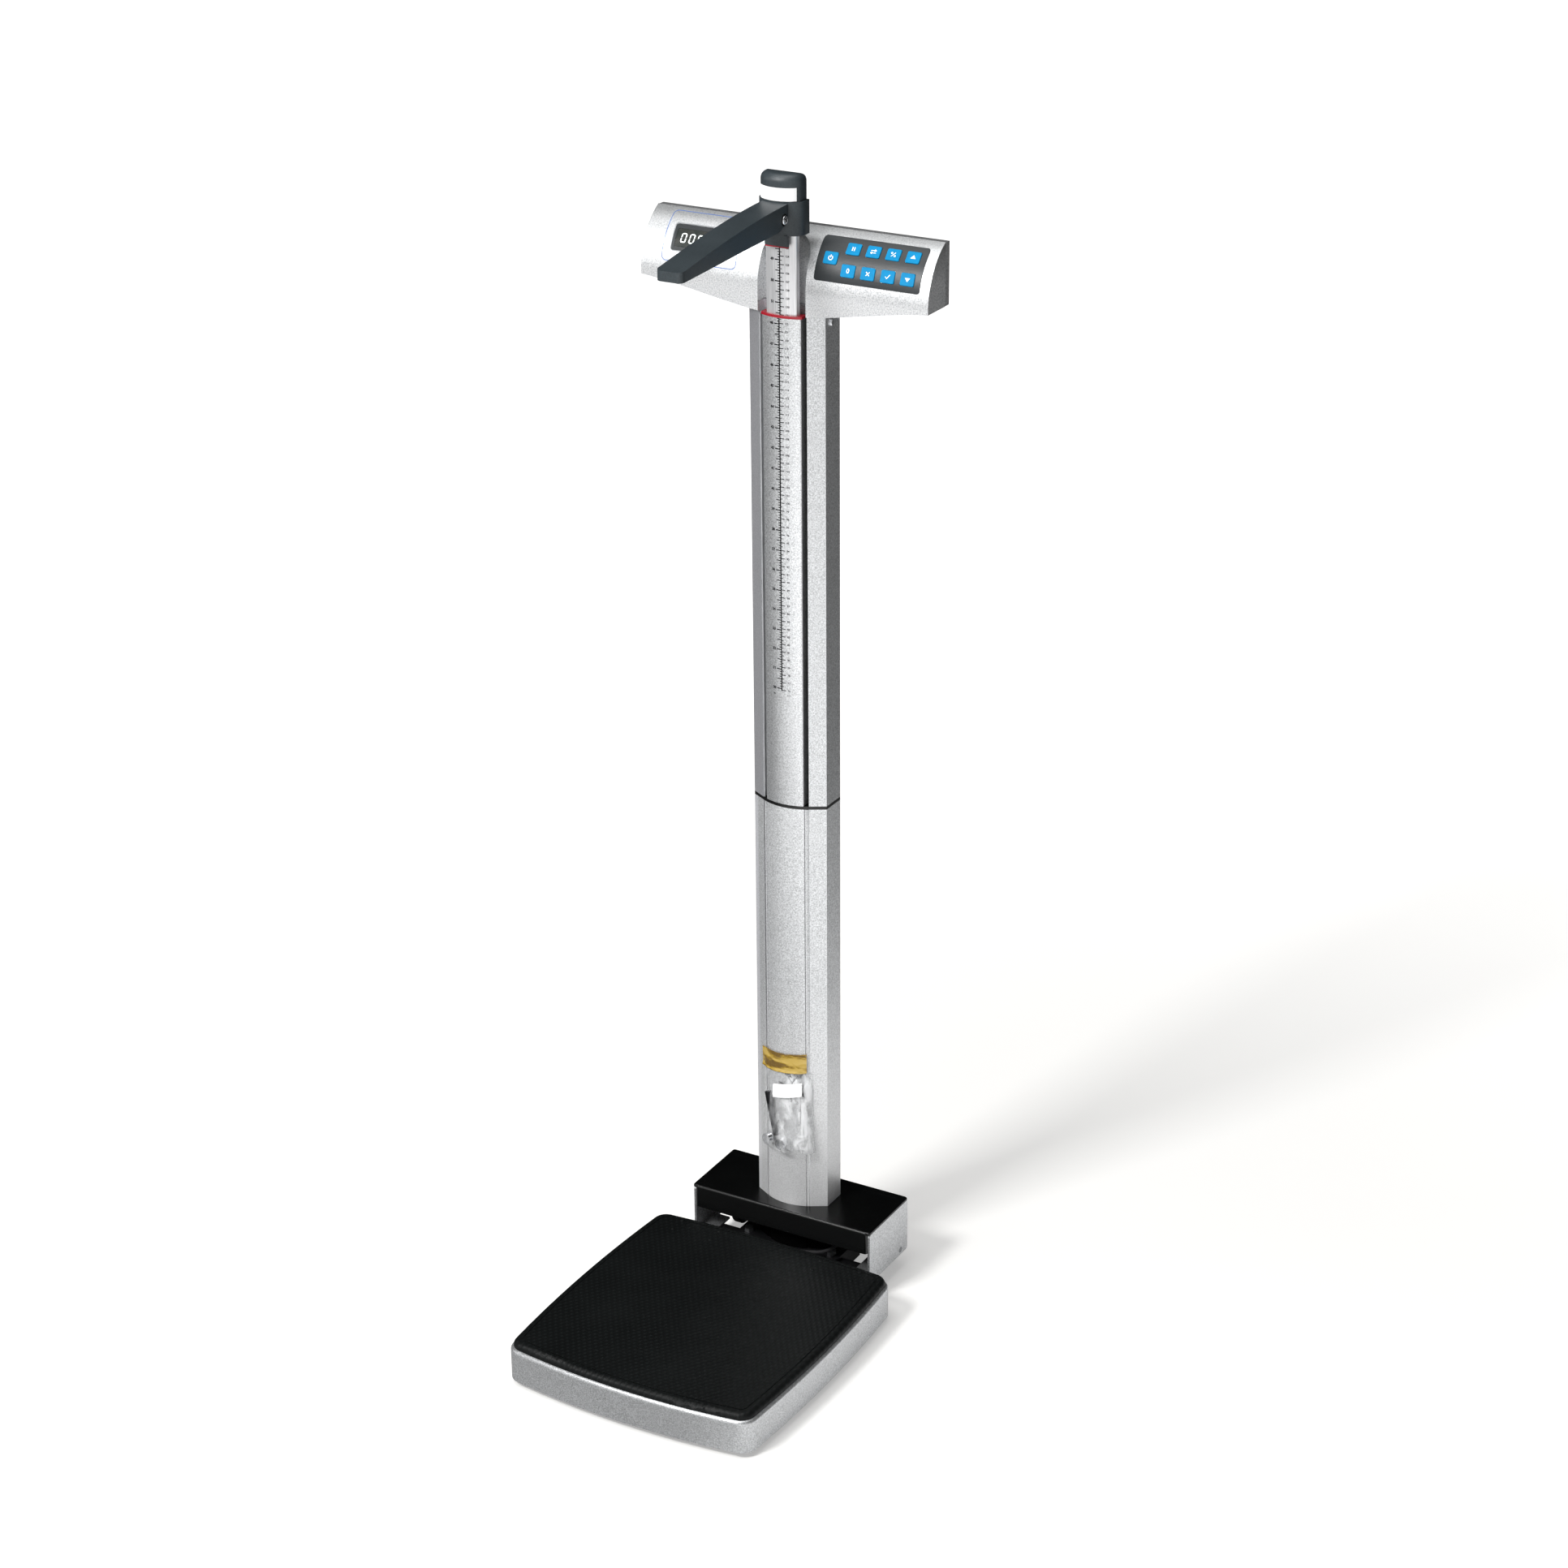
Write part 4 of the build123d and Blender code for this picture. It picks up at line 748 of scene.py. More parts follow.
def lettering(text, size, x, z, weight=0.0):
    """Figures as a closed flat mesh in (x, z, out), of ink thickness."""
    curve = bpy.data.curves.new("lettering", "FONT")
    curve.body = text
    curve.size = size
    curve.align_x = curve.align_y = "CENTER"
    curve.resolution_u = 3
    curve.offset = weight
    curve.extrude = PRINT_T / 2
    mesh = evaluated(placed("lettering", curve))
    bpy.data.curves.remove(curve)
    mesh.transform(Matrix.Translation((x, z, PRINT_T / 2)))
    return mesh


# ---------------------------------------------------------------- rows of marks
def mark_row_group():
    """Geometry nodes for one row of rule marks: flat bars at an even pitch up the rule."""
    existing = bpy.data.node_groups.get("Rule marks")
    if existing:
        return existing
    group = bpy.data.node_groups.new("Rule marks", "GeometryNodeTree")
    kinds = {"Count": "Int", "Material": "Material"}
    for label in ("Count", "Pitch", "First", "Middle", "Length", "Weight", "Ink", "Material"):
        kind = "NodeSocket" + kinds.get(label, "Float")
        group.interface.new_socket(label, in_out="INPUT", socket_type=kind)
    group.interface.new_socket("Geometry", in_out="OUTPUT", socket_type="NodeSocketGeometry")
    nodes = Nodes(group)
    size = nodes.add("NodeGroupInput").outputs

    def vector(**sizes):
        feeds = {axis: size[label] for axis, label in sizes.items()}
        return nodes.add("ShaderNodeCombineXYZ", feeds).outputs[0]

    places = {"Start Location": vector(X="Middle", Y="First"), "Offset": vector(Y="Pitch")}
    line = nodes.add("GeometryNodeMeshLine", {"Count": size["Count"], **places})
    bulk = vector(X="Length", Y="Weight", Z="Ink")
    bar = nodes.add("GeometryNodeMeshCube", {"Size": bulk, "Vertices X": 5})
    feeds = {"Points": line.outputs[0], "Instance": bar.outputs["Mesh"]}
    raised = nodes.add("GeometryNodeInstanceOnPoints", feeds)
    real = nodes.add("GeometryNodeRealizeInstances", {0: raised.outputs[0]})
    feeds = {"Geometry": real.outputs[0], "Material": size["Material"]}
    nodes.add("NodeGroupOutput", {0: nodes.add("GeometryNodeSetMaterial", feeds).outputs[0]})
    return group


def mark_row(count, pitch, first, x0, x1, weight, ink):
    """Row of count marks from x0 to x1, the first at height first."""
    values = {"Count": count, "Pitch": pitch, "First": first, "Middle": (x0 + x1) / 2}
    values.update({"Length": abs(x1 - x0), "Weight": weight, "Ink": PRINT_T, "Material": ink})
    holder = placed("marks", bpy.data.meshes.new("marks"))
    modifier = holder.modifiers.new("marks", "NODES")
    modifier.node_group = mark_row_group()
    for item in modifier.node_group.interface.items_tree:
        if item.in_out == "INPUT":
            modifier[item.identifier] = values[item.name]
    return evaluated(holder)


# ---------------------------------------------------------------- printed scales
CM_GAP, INCH_GAP = 0.0042, 0.0038  # from the end of a mark to the middle of its figure
LIGHT_FACE, BOLD_FACE = 0.00008, 0.00022  # how much the figures' strokes are fattened
LINE_STEP = 0.02  # between the points of the centre line


def print_scale(name, body, radius, low, high, cm_marks, inch_marks):
    """Centre line from low to high, with marks and figures on both sides of it.

    The marks are (value, z) from low to high.
    """
    rule = bpy.context.scene.scale_rule
    half = rule.line_w / 2
    ink = black_ink()
    rows = []

    def row(marks, parts, reach, weight, side):
        """Marks at each part of a unit from the lowest value to the highest."""
        first = marks[0][1]
        pitch = (marks[-1][1] - first) / (len(marks) - 1) / parts
        count = (len(marks) - 1) * parts + 1
        while first - pitch > low:
            first, count = first - pitch, count + 1
        while first + count * pitch < high:
            count += 1
        ends = (side * half, side * (half + reach))
        rows.append(mark_row(count, pitch, first, *ends, weight, ink))

    figures = []
    # parts of a unit, with their marks' length and weight as shares of the whole unit's
    cm_kinds = ((1, 1.0, 1.0), (2, 0.45, 0.8))
    inch_kinds = ((1, 1.0, 1.3), (2, 0.86, 1.1), (8, 0.34, 1.0))
    for marks, side, reach, kinds, size, gap, fattened in (
        (cm_marks, 1, rule.cm_tick, cm_kinds, rule.cm_size, CM_GAP, LIGHT_FACE),
        (inch_marks, -1, rule.inch_tick, inch_kinds, rule.inch_size, INCH_GAP, BOLD_FACE),
    ):
        for parts, share, weight in kinds:
            row(marks, parts, reach * share, rule.tick_w * weight, side)
        x = side * (half + reach + gap)
        shown = [(value, z) for value, z in marks if low < z < high]
        figures += [lettering(str(value), size, x, z, fattened) for value, z in shown]
    steps = int((high - low) / LINE_STEP)
    line = [(0.0, low + (high - low) * k / steps) for k in range(steps + 1)]
    rows.append(band(line, rule.line_w))
    printed(f"{name}_marks", rows, on_drum(radius), ink, body)
    printed(f"{name}_figures", figures, on_drum(radius), ink, body)


class SCALE_OT_rule_print(bpy.types.Operator):
    """Prints the inch and centimetre scale on the height rule"""

    bl_idname = "scale_object.rule_print"
    bl_label = "Rule Print"

    def execute(self, context):
        rule = context.scene.scale_rule
        cm = [(h, rule.zero + h * CM) for h in range(rule.first_cm, rule.last_cm + 1)]
        inches = [(h, rule.zero + h * INCH) for h in range(rule.first_inch, rule.last_inch + 1)]
        low, high = rule.zero + rule.first_cm * CM - 0.001, RAIL[1].z - 0.0004
        print_scale("rule", "scale_base", FACE_R, low, high, cm, inches)
        unit_z, inch_x, cm_x = low - 0.0048, -0.0105, 0.0095
        units = [
            lettering("in", 0.004, inch_x, unit_z, 0.0001),
            lettering("cm", 0.0036, cm_x, unit_z),
        ]
        printed("rule_units", units, on_drum(FACE_R), black_ink())
        return {"FINISHED"}


class SCALE_OT_rod_print(bpy.types.Operator):
    """Prints the inner rod's scale, which counts on as the rod is drawn out"""

    bl_idname = "scale_object.rod_print"
    bl_label = "Rod Print"

    def execute(self, context):
        rule = context.scene.scale_rule
        top = POINTER[0].z

        def height(cm):
            return top - (cm - rule.at_pointer) * CM

        clear_cm = 4  # kept bare under the cap
        first_cm = math.ceil(rule.at_pointer - (CAP[0].z - top) / CM + clear_cm)
        cm = [(h, height(h)) for h in range(rule.rod_cm, first_cm - 1, -1)]
        inch = INCH / CM
        first_inch = math.ceil(first_cm / inch)
        inches = [(h, height(h * inch)) for h in range(rule.rod_inch, first_inch - 1, -1)]
        low, high = height(rule.rod_cm) - 0.001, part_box("rod_head")[0].z - 0.0002
        print_scale("rod", "height_rod", ROD_FACE_R, low, high, cm, inches)
        return {"FINISHED"}


# ---------------------------------------------------------------- head: display and keys
def lit_nought(x, z, wide, high, bar):
    """The six lit bars of a seven-segment nought, each with pointed ends, leaning a little."""
    lean = 0.09
    half_w, half_h, b = wide / 2, high / 2, bar / 2
    right, left = (half_w, half_h / 2), (-half_w, half_h / 2)
    spots = [(0, half_h), right, (half_w, -half_h / 2), (0, -half_h), (-half_w, -half_h / 2), left]
    made = []
    for cx, cz in spots:
        level = cx == 0
        reach = (half_w if level else half_h / 2) - bar * 0.12
        ends = [(-reach, 0), (-reach + b, b), (reach - b, b)]
        ends += [(-u, -v) for u, v in ends]
        if not level:
            ends = [(v, u) for u, v in ends]
        made.append(slab([(x + cx + u + lean * (cz + v), z + cz + v) for u, v in ends]))
    return made


class SCALE_OT_display(bpy.types.Operator):
    """Lights the display's figures and draws the thin frames round it"""

    bl_idname = "scale_object.display"
    bl_label = "Display"

    def execute(self, context):
        low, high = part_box("display_window")
        z = head_arc((low.z + high.z) / 2)
        first, pitch, clear = 0.0105, 0.0112, 0.0006
        small, large = (0.0058, 0.0104, 0.0014), (0.0062, 0.0116, 0.0017)  # wide, high, bar
        dot_r, dot_z, unit_size, unit_z = 0.0009, z - 0.0058, 0.0052, z - 0.0035
        digits = []
        for k in range(3):
            digits += lit_nought(low.x + first + k * pitch, z, *small)
        last_x = low.x + first + 3 * pitch
        digits.append(slab(ring(dot_r, 10, (last_x - pitch / 2, dot_z))))
        digits += lit_nought(last_x + 0.001, z, *large)
        digits.append(lettering("kg", unit_size, last_x + 0.0125, unit_z))
        glow = Finish("lit_segments", Base_Color=(0.85, 0.88, 0.86, 1.0), Emission_Strength=0.55)
        glow.set("Emission Color", (0.85, 0.9, 0.88, 1.0))
        glow.roughness(glow.noise(900.0), 0.3, 0.5)

        def on_window(u, v, out):
            return on_head(u, v, out + clear)

        printed("display_figures", digits, on_window, glow.material)
        low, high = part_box("display_bezel")
        margin, rim_r, rim_w, rim_t = 0.0009, 0.0035, 0.0014, 0.0005
        sides = (low.x - margin, high.x + margin)
        rim = rounded_path(*sides, head_arc(low.z) - margin, head_arc(high.z) + margin, rim_r)
        mesh = lay(band(rim, rim_w, True, high=rim_t), on_head)
        piece("display_rim", mesh, finish_of("zinc_steel"))
        left, right, foot_z, head_z, panel_r = -0.1635, -0.063, 1.3335, 1.3852, 0.0062
        outline = rounded_path(left, right, head_arc(foot_z), head_arc(head_z), panel_r)
        blue = printed_ink("blue_ink", (0.09, 0.17, 0.42))
        printed("panel_outline", [band(outline, 0.0009, True)], on_head, blue)
        return {"FINISHED"}


KEY_PROUD = 0.0017
KEY_COLUMNS = (0.0848, 0.1106, 0.1362, 0.1618)
KEY_ROWS = {1.3716: ("hold", "unit", "bmi", "up"), 1.3495: ("zero", "clear", "enter", "down")}
KEY_SPOTS = {
    f"key_{name}": (x, z) for z, names in KEY_ROWS.items() for x, name in zip(KEY_COLUMNS, names)
}
KEY_SPOTS["key_power"] = (0.0592, 1.3606)


def key_face(key):
    """Place on a key's cap: (across, up the cap, out) from the cap's middle."""
    x, z = KEY_SPOTS[key]
    turn = head_turn(z)
    normal = Vector((0, -math.cos(turn), math.sin(turn)))
    up = Vector((0, math.sin(turn), math.cos(turn)))
    origin = Vector((x, HEAD_FRONT_Y + HEAD_R * (1 - math.cos(turn)), z))

    def place(u, v, out):
        return origin + Vector((u, 0, 0)) + up * v + normal * (KEY_PROUD + PRINT_LIFT + out)

    return place


def key_marks():
    """Flat white symbols, by key, in (across, up, out)."""
    thin, thick = 0.0008, 0.001
    arrow = [(-0.0034, -0.0018), (0.0034, -0.0018), (0.0, 0.0028)]
    tick = [(-0.0028, 0.0), (-0.0008, -0.0022), (0.003, 0.0026)]
    pause, cross = 0.0013, 0.0022

    def bar(x0, z0, x1, z1, wide=thin):
        return band([(x0, z0), (x1, z1)], wide)

    def arrow_to(way, z):
        tip = way * 0.0036
        head = [(tip * 0.35, z + 0.0013), (tip, z), (tip * 0.35, z - 0.0013)]
        return [bar(-tip, z, tip * 0.7, z), band(head, thin)]

    def small_ring(x, z):
        return band(ring(0.001, centre=(x, z)), thin * 0.8, True)

    percent = [bar(-0.0024, -0.0026, 0.0024, 0.0026)]
    percent += [small_ring(-0.0022, 0.0018), small_ring(0.0022, -0.0018)]
    return {
        "key_power": [band(arc(0.0026, 130, 410), thick), bar(0, 0.0002, 0, 0.0036, thick)],
        "key_hold": [bar(x, -0.0024, x, 0.0024, 0.0012) for x in (-pause, pause)],
        "key_unit": arrow_to(1, 0.0015) + arrow_to(-1, -0.0015),
        "key_bmi": percent,
        "key_up": [slab(arrow)],
        "key_down": [slab([(x, -z) for x, z in reversed(arrow)])],
        "key_zero": [lettering("0", 0.0078, 0.0, 0.0, 0.00015)],
        "key_clear": [bar(-cross, z, cross, -z, thick) for z in (-cross, cross)],
        "key_enter": [band(tick, thick)],
    }


class SCALE_OT_key_marks(bpy.types.Operator):
    """Prints a white symbol on each key cap"""

    bl_idname = "scale_object.key_marks"
    bl_label = "Key Marks"

    def execute(self, context):
        white = printed_ink("white_ink", (0.86, 0.9, 0.93))
        for key, meshes in key_marks().items():
            printed(f"{key}_mark", meshes, key_face(key), white, key)
        return {"FINISHED"}


# ---------------------------------------------------------------- rod cap and its label
def cap_front(turn):
    """A point (x, y) of the cap's rounded front and the way that it faces; turn 0 is its nose."""
    half_w, flank_y = CAP[1].x, CAP[0].y + CAP_NOSE
    x, y = math.sin(turn), -math.cos(turn)
    point = Vector((half_w * x, flank_y + CAP_NOSE * y))
    return point, Vector((x / half_w, y / CAP_NOSE)).normalized()


class SCALE_OT_cap_label(bpy.types.Operator):
    """Wraps a bare white label round the front of the rod's cap"""

    bl_idname = "scale_object.cap_label"
    bl_label = "Cap Label"

    def execute(self, context):
        lift, thickness = 0.00012, 0.00015
        low, high = CAP[0].z + 0.0004, CAP[0].z + 0.0158

        def place(turn, z, out):
            point, normal = cap_front(turn)
            return (*(point + normal * (lift + out)), z)

        start, end = math.radians(-84), math.asin(0.0235 / CAP[1].x)
        path = [(start + (end - start) * k / 40, (low + high) / 2) for k in range(41)]
        mesh = lay(band(path, high - low, high=thickness), place)
        piece("cap_label", mesh, paper("label_paper"), "height_rod")
        return {"FINISHED"}


class SCALE_OT_rod_cap(bpy.types.Operator):
    """Rounds the rod's cap over its top edge, as a moulded cap is"""

    bl_idname = "scale_object.rod_cap"
    bl_label = "Rod Cap"

    def execute(self, context):
        low_z, top_z = CAP[0].z, CAP[1].z
        half_w, back_y = CAP[1].x, CAP[1].y
        corner_r, edge_r, break_r = 0.003, 0.009, 0.0004

        def outline(inset):
            points = []
            for k in range(33):
                point, normal = cap_front(math.radians(-90 + 180 * k / 32))
                points.append(tuple(point - normal * inset))
            past, radius = max(inset - corner_r, 0.0), max(corner_r - inset, 0.0)
            for side, start in ((1, 0), (-1, 90)):
                centre = (side * (half_w - corner_r - past), back_y - corner_r - past)
                points += arc(radius, start, start + 90, 4, centre)
            return points

        levels = [(low_z, break_r), (low_z + break_r, 0.0)]
        for reach, rise in arc(edge_r, 0, 90, 10):
            levels.append((top_z - edge_r + rise, edge_r - reach))
        rings = [[(*point, z) for point in outline(inset)] for z, inset in levels]
        mesh = joined([lofted(rings)])
        mesh.shade_smooth()
        mesh.set_sharp_from_angle(angle=math.radians(40))
        cap = piece(
            "rod_cap_moulding", mesh, finish_of("carriage_plastic"), "height_rod"
        )
        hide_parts("rod_cap")
        return {"FINISHED"}


# ---------------------------------------------------------------- small forms
class SCALE_OT_pivot_mark(bpy.types.Operator):
    """Paints shade into the cross recess of the pivot screw's head and darkens the ring round it"""

    bl_idname = "scale_object.pivot_mark"
    bl_label = "Pivot Mark"

    def execute(self, context):
        low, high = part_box("pivot_screw")
        arm_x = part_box("headpiece_arm")[1].x
        middle_y, middle_z = (low.y + high.y) / 2, (low.z + high.z) / 2
        head_r = (high.y - low.y) / 2

        def beside(x):
            return lambda u, v, out: (x + out, middle_y + u, middle_z + v)

        black = printed_ink("recess_black", (0.004, 0.004, 0.004))
        ring_w, bar_w, lift = 0.0016, 0.0013, 0.00005
        dark_ring = [band(ring(head_r + 0.0009), ring_w, True)]
        printed("pivot_ring", dark_ring, beside(arm_x + lift), black, "headpiece")
        # painted shade of the cross recess in the screw's head
        reach = head_r * 0.434
        bars = [band([(-x, -reach), (x, reach)], bar_w) for x in (reach, -reach)]
        printed("pivot_cross", bars, beside(high.x + 0.00004), black, "headpiece")
        return {"FINISHED"}


class SCALE_OT_groove_strips(bpy.types.Operator):
    """Fills the lower column's grooves with shallow silver strips that carry a thin bead"""

    bl_idname = "scale_object.groove_strips"
    bl_label = "Groove Strips"

    def execute(self, context):
        low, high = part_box("column_lower")
        inner, outer = 0.0268, 0.0317
        bead_x, bead_r = (inner + outer) / 2, 0.0009
        floor_in, bead_in, back_in, end_gap = 0.0016, 0.0013, 0.0045, 0.0005

        def behind_face(x, depth):
            return x, FACE_AXIS_Y - math.sqrt(FACE_R**2 - x**2) + depth

        section = [behind_face(inner, back_in), behind_face(inner, floor_in)]
        section += arc(bead_r, -180, 0, 8, behind_face(bead_x, bead_in))
        section += [behind_face(outer, floor_in), behind_face(outer, back_in)]
        for side, name in ((-1, "groove_strip_left"), (1, "groove_strip_right")):
            outline = [(side * x, y) for x, y in section]
            mesh = slab(outline, low.z + end_gap, high.z - end_gap)
            piece(name, mesh, finish_of("column_lower"))
        return {"FINISHED"}


class SCALE_OT_cover_rim(bpy.types.Operator):
    """Laps the black cover's rim over the side plates and the rear of the base"""

    bl_idname = "scale_object.cover_rim"
    bl_label = "Cover Rim"

    def execute(self, context):
        cover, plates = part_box("base_cover"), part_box("base_bracket")
        # the rim starts a little inside the cover's edge and ends a little past the plates
        inner, outer = cover[1].x - 0.004, plates[1].x + 0.0006
        front, rear = cover[0].y + 0.0006, plates[1].y + 0.0004
        inner_rear = cover[1].y - 0.002
        low, high = plates[1].z + 0.0001, cover[1].z + 0.0001
        corner_r, edge_r = 0.004, 0.0022
        right = [(inner, inner_rear), (inner, front)]
        right += arc(corner_r, -90, 0, 6, (outer - corner_r, front + corner_r))
        right += arc(corner_r, 0, 90, 6, (outer - corner_r, rear - corner_r))
        plate = slab(right + [(-x, y) for x, y in reversed(right)], low, high)
        work = bmesh.new()
        work.from_mesh(plate)
        bpy.data.meshes.remove(plate)

        def on_outside(point):
            return abs(point.x) > inner + 0.001 or point.y > inner_rear + 0.003

        rounded = []
        for edge in work.edges:
            points = [vertex.co for vertex in edge.verts]
            at_top = all(abs(point.z - high) < 1e-6 for point in points)
            if at_top and any(on_outside(point) for point in points):
                rounded.append(edge)
        bmesh.ops.bevel(
            work, geom=rounded, offset=edge_r, segments=4, affect="EDGES", profile=0.5
        )
        black = finish_of("black_plastic")
        piece("cover_rim", mesh_of(work), black)
        return {"FINISHED"}


# ---------------------------------------------------------------- accessory bag
def ripple(x, z, seed, scale):
    """Smooth crumple between -1 and 1."""
    return noise.noise(Vector((x * scale, z * scale, seed * 3.7)))


def crumpled(x, z, seed):
    """Creased film: sharp ridges over soft dents."""
    ridge = 1.0 - abs(ripple(x, z, seed, 42.0)) * 2.2
    cross = 1.0 - abs(ripple(z, -x, seed + 5, 75.0)) * 2.4
    dents = ripple(x, z, seed + 9, 24.0) * 0.5
    return max(ridge, 0.0) ** 2 * 0.6 + max(cross, 0.0) ** 2 * 0.3 + dents


def sheet_mesh(columns, rows, place, thickness):
    """Closed thin sheet over a grid; place(s, t) is its middle surface, s and t from 0 to 1."""
    work = bmesh.new()
    grid = [
        [work.verts.new(place(i / columns, j / rows)) for i in range(columns + 1)]
        for j in range(rows + 1)
    ]
    for here, there in zip(grid, grid[1:]):
        for i in range(columns):
            work.faces.new((here[i], here[i + 1], there[i + 1], there[i]))
    bmesh.ops.recalc_face_normals(work, faces=work.faces)
    bmesh.ops.solidify(work, geom=work.faces[:], thickness=thickness)
    mesh = mesh_of(work)
    mesh.shade_smooth()
    return mesh


class SCALE_OT_bag_film(bpy.types.Operator):
    """Makes the accessory bag: a creased film pouch, fuller at the bottom, round its contents"""

    bl_idname = "scale_object.bag_film"
    bl_label = "Bag Film"

    def execute(self, context):
        bag = context.scene.scale_bag
        low, high = BAG[0].z - 0.003, BAG[1].z + 0.004
        depth = 0.9 * (FACE_AXIS_Y - FACE_R - BAG[0].y - 0.0005)
        film, drift = 0.00005, 0.0028
        lay_on = on_drum(FACE_R, 0.0)

        def front(s, t):
            """Film over the contents: out is its distance from the column, t runs downwards."""
            across = 2 * s - 1
            z = high + (low - high) * t
            width = bag.half_width * (1 - 0.04 * math.sin(math.pi * t))
            fullness = math.sin(math.pi / 2 * min(1.0, t * 1.25)) ** 1.6
            edge = max(0.0, 1 - abs(across) ** 3.2) ** 0.6
            closing = min(1.0, (1 - t) / 0.1) ** 0.5
            belly = depth * fullness * edge * (0.35 + 0.65 * closing)
            crease = bag.creases * crumpled(across * 0.035, z, bag.seed) * edge * (0.25 + t)
            out = 0.0011 + belly + crease * (0.4 + 0.6 * closing) * min(1.0, 6 * t)
            x = across * width + drift * t * t + 0.0012 * ripple(z, across, bag.seed, 30.0)
            return lay_on(x, z, max(out, 0.0009))

        def back(s, t):
            """Film that lies on the column."""
            z = high + (low - high) * t
            x = (2 * s - 1) * bag.half_width + drift * t * t
            return lay_on(x, z, 0.00055 + 0.0001 * abs(ripple(x, z, bag.seed + 2, 60.0)))

        sheets = [sheet_mesh(84, 130, front, film), sheet_mesh(40, 60, back, film)]
        corner_z = BAG[0].z + 0.001
        corner = [(-0.029, corner_z), (-0.0185, corner_z), (-0.0245, corner_z - 0.035)]
        sheets.append(lay(slab(corner, 0.0004, 0.0005), lay_on))
        pouch = piece("bag_film", joined(sheets), finish_of("clear_film"))
        pouch.data.shade_smooth()
        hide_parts("accessory_bag")
        return {"FINISHED"}


class SCALE_OT_bag_tape(bpy.types.Operator):
    """Lays the creased amber tape over the top of the bag"""

    bl_idname = "scale_object.bag_tape"
    bl_label = "Bag Tape"

    def execute(self, context):
        bag = context.scene.scale_bag
        low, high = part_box("bag_tape")
        middle = (low.z + high.z) / 2 + 0.0055
        half_w, half_h, left = 0.0345, 0.0136, 0.0052
        slope = math.tan(bag.tape_tilt)
        bag_top, bag_fade = BAG[1].z + 0.006, 0.012
        lay_on = on_drum(FACE_R, 0.0)

        def place(s, t):
            u = (2 * s - 1) * half_w - left
            v = (2 * t - 1) * half_h
            ragged = 0.0006 * ripple(u, 0, 2, 90.0) * abs(2 * t - 1)
            sag = -0.001 * math.cos(u / half_w * math.pi / 2)
            z = middle + u * slope + v + ragged + sag
            over_bag = max(0.0, min(1.0, (bag_top - z) / bag_fade))
            fold = max(0.0, crumpled(u, v, bag.seed + 1))
            return lay_on(u, z, 0.0012 + 0.0022 * over_bag + 0.0011 * fold)

        mesh = sheet_mesh(90, 44, place, 0.0001)
        tape = piece("tape_film", mesh, finish_of("amber_tape"))
        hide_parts("bag_tape")
        return {"FINISHED"}


# ---------------------------------------------------------------- carried-over nodes
class SCALE_OT_finishes(bpy.types.Operator):
    """Gives every carried-over node its own finish, or else the material of its slot"""

    bl_idname = "scale_object.finishes"
    bl_label = "Finishes"

    def execute(self, context):
        for entry in frame["record"]["subparts"]:
            name = entry["node"]
            materials = frame["nodes"][name].data.materials
            materials.clear()
            materials.append(finish_of(name if name in FINISHES else entry["material_slot"]))
        return {"FINISHED"}


# ---------------------------------------------------------------- stage
def light(name, place, target, size, power):
    """Square softbox that faces its target."""
    lamp = bpy.data.lights.new(name, "AREA")
    lamp.shape = "SQUARE"
    lamp.size = size
    lamp.energy = power
    made = placed(name, lamp)
    made.location = place
    made.rotation_euler = (Vector(target) - Vector(place)).to_track_quat("-Z", "Y").to_euler()


def studio_paper(stage):
    """Pale paper, even and near white to look at; in reflections it is grey near the scale,
    bright further out in front and dark to the right behind."""
    f = Finish("pale_floor", Specular_IOR_Level=0.1, Emission_Color=(1.0, 0.998, 0.994, 1.0))
    ray = f.add("ShaderNodeLightPath").outputs["Is Camera Ray"]
    place = f.axes(f.place)

    def between(axis, start, end):
        return f.ranged(place[axis], start, end)

    # the sheet's tone in reflections and bounce light, with painted shade: grey beside the scale,
    # darker to its left and behind it
    near = f.ramp(between("X", 0.1, 0.35), (0.0, 0.34), (1.0, 0.75))
    behind = f.product(between("Y", 0.5, 1.5), 0.85)
    left = f.mix(between("X", -0.3, -0.8), near, (0.14, 0.14, 0.14))
    sheet = f.mix(behind, left, (0.2, 0.2, 0.2))
    # the light that it throws back: more with distance ahead, within a fan in front
    rises = ((0.0, 0.0), (0.33, 0.3), (0.48, 0.44), (0.7, 0.8), (1.0, 1.0))
    ahead = f.product(f.ramp(between("Y", -0.3, -3.0), *rises), between("X", 1.6, 0.4))
    sideways = f.math("DIVIDE", place["X"], f.math("MINIMUM", place["Y"], -0.05))
    leftward = f.ramp(f.ranged(sideways, 0.5, 2.2), (0.0, 1.0), (0.4, 0.42), (1.0, 0.05))
    rightward = f.ramp(f.ranged(sideways, -0.05, -0.6), (0.0, 1.0), (1.0, 0.45))
    outer = f.ramp(between("X", -1.25, -2.1), (0.0, 1.0), (1.0, 0.35))
    inside = f.product(between("Y", -5.0, -3.0), outer, leftward, rightward)
    # and a little on the right beside the scale
    beside = f.product(between("X", 0.05, 0.25), between("Y", 1.5, 0.3), 0.3)
    bounce = f.product(f.math("ADD", f.product(ahead, inside), beside), stage.bounce)
    tone = stage.floor_tone
    f.colour(f.mix(ray, sheet, (tone, tone * 0.99, tone * 0.965)))
    f.roughness(f.noise(0.8, 2.0), 0.75, 0.85)
    distance = f.add("ShaderNodeVectorMath", {0: f.place}, operation="LENGTH").outputs["Value"]
    glow = f.ranged(distance, 0.6, 3.5, stage.floor_glow, 1.0)
    unseen = f.product(f.math("SUBTRACT", 1.0, ray), bounce)
    f.set("Emission Strength", f.math("ADD", f.product(ray, glow), unseen))
    return f.material


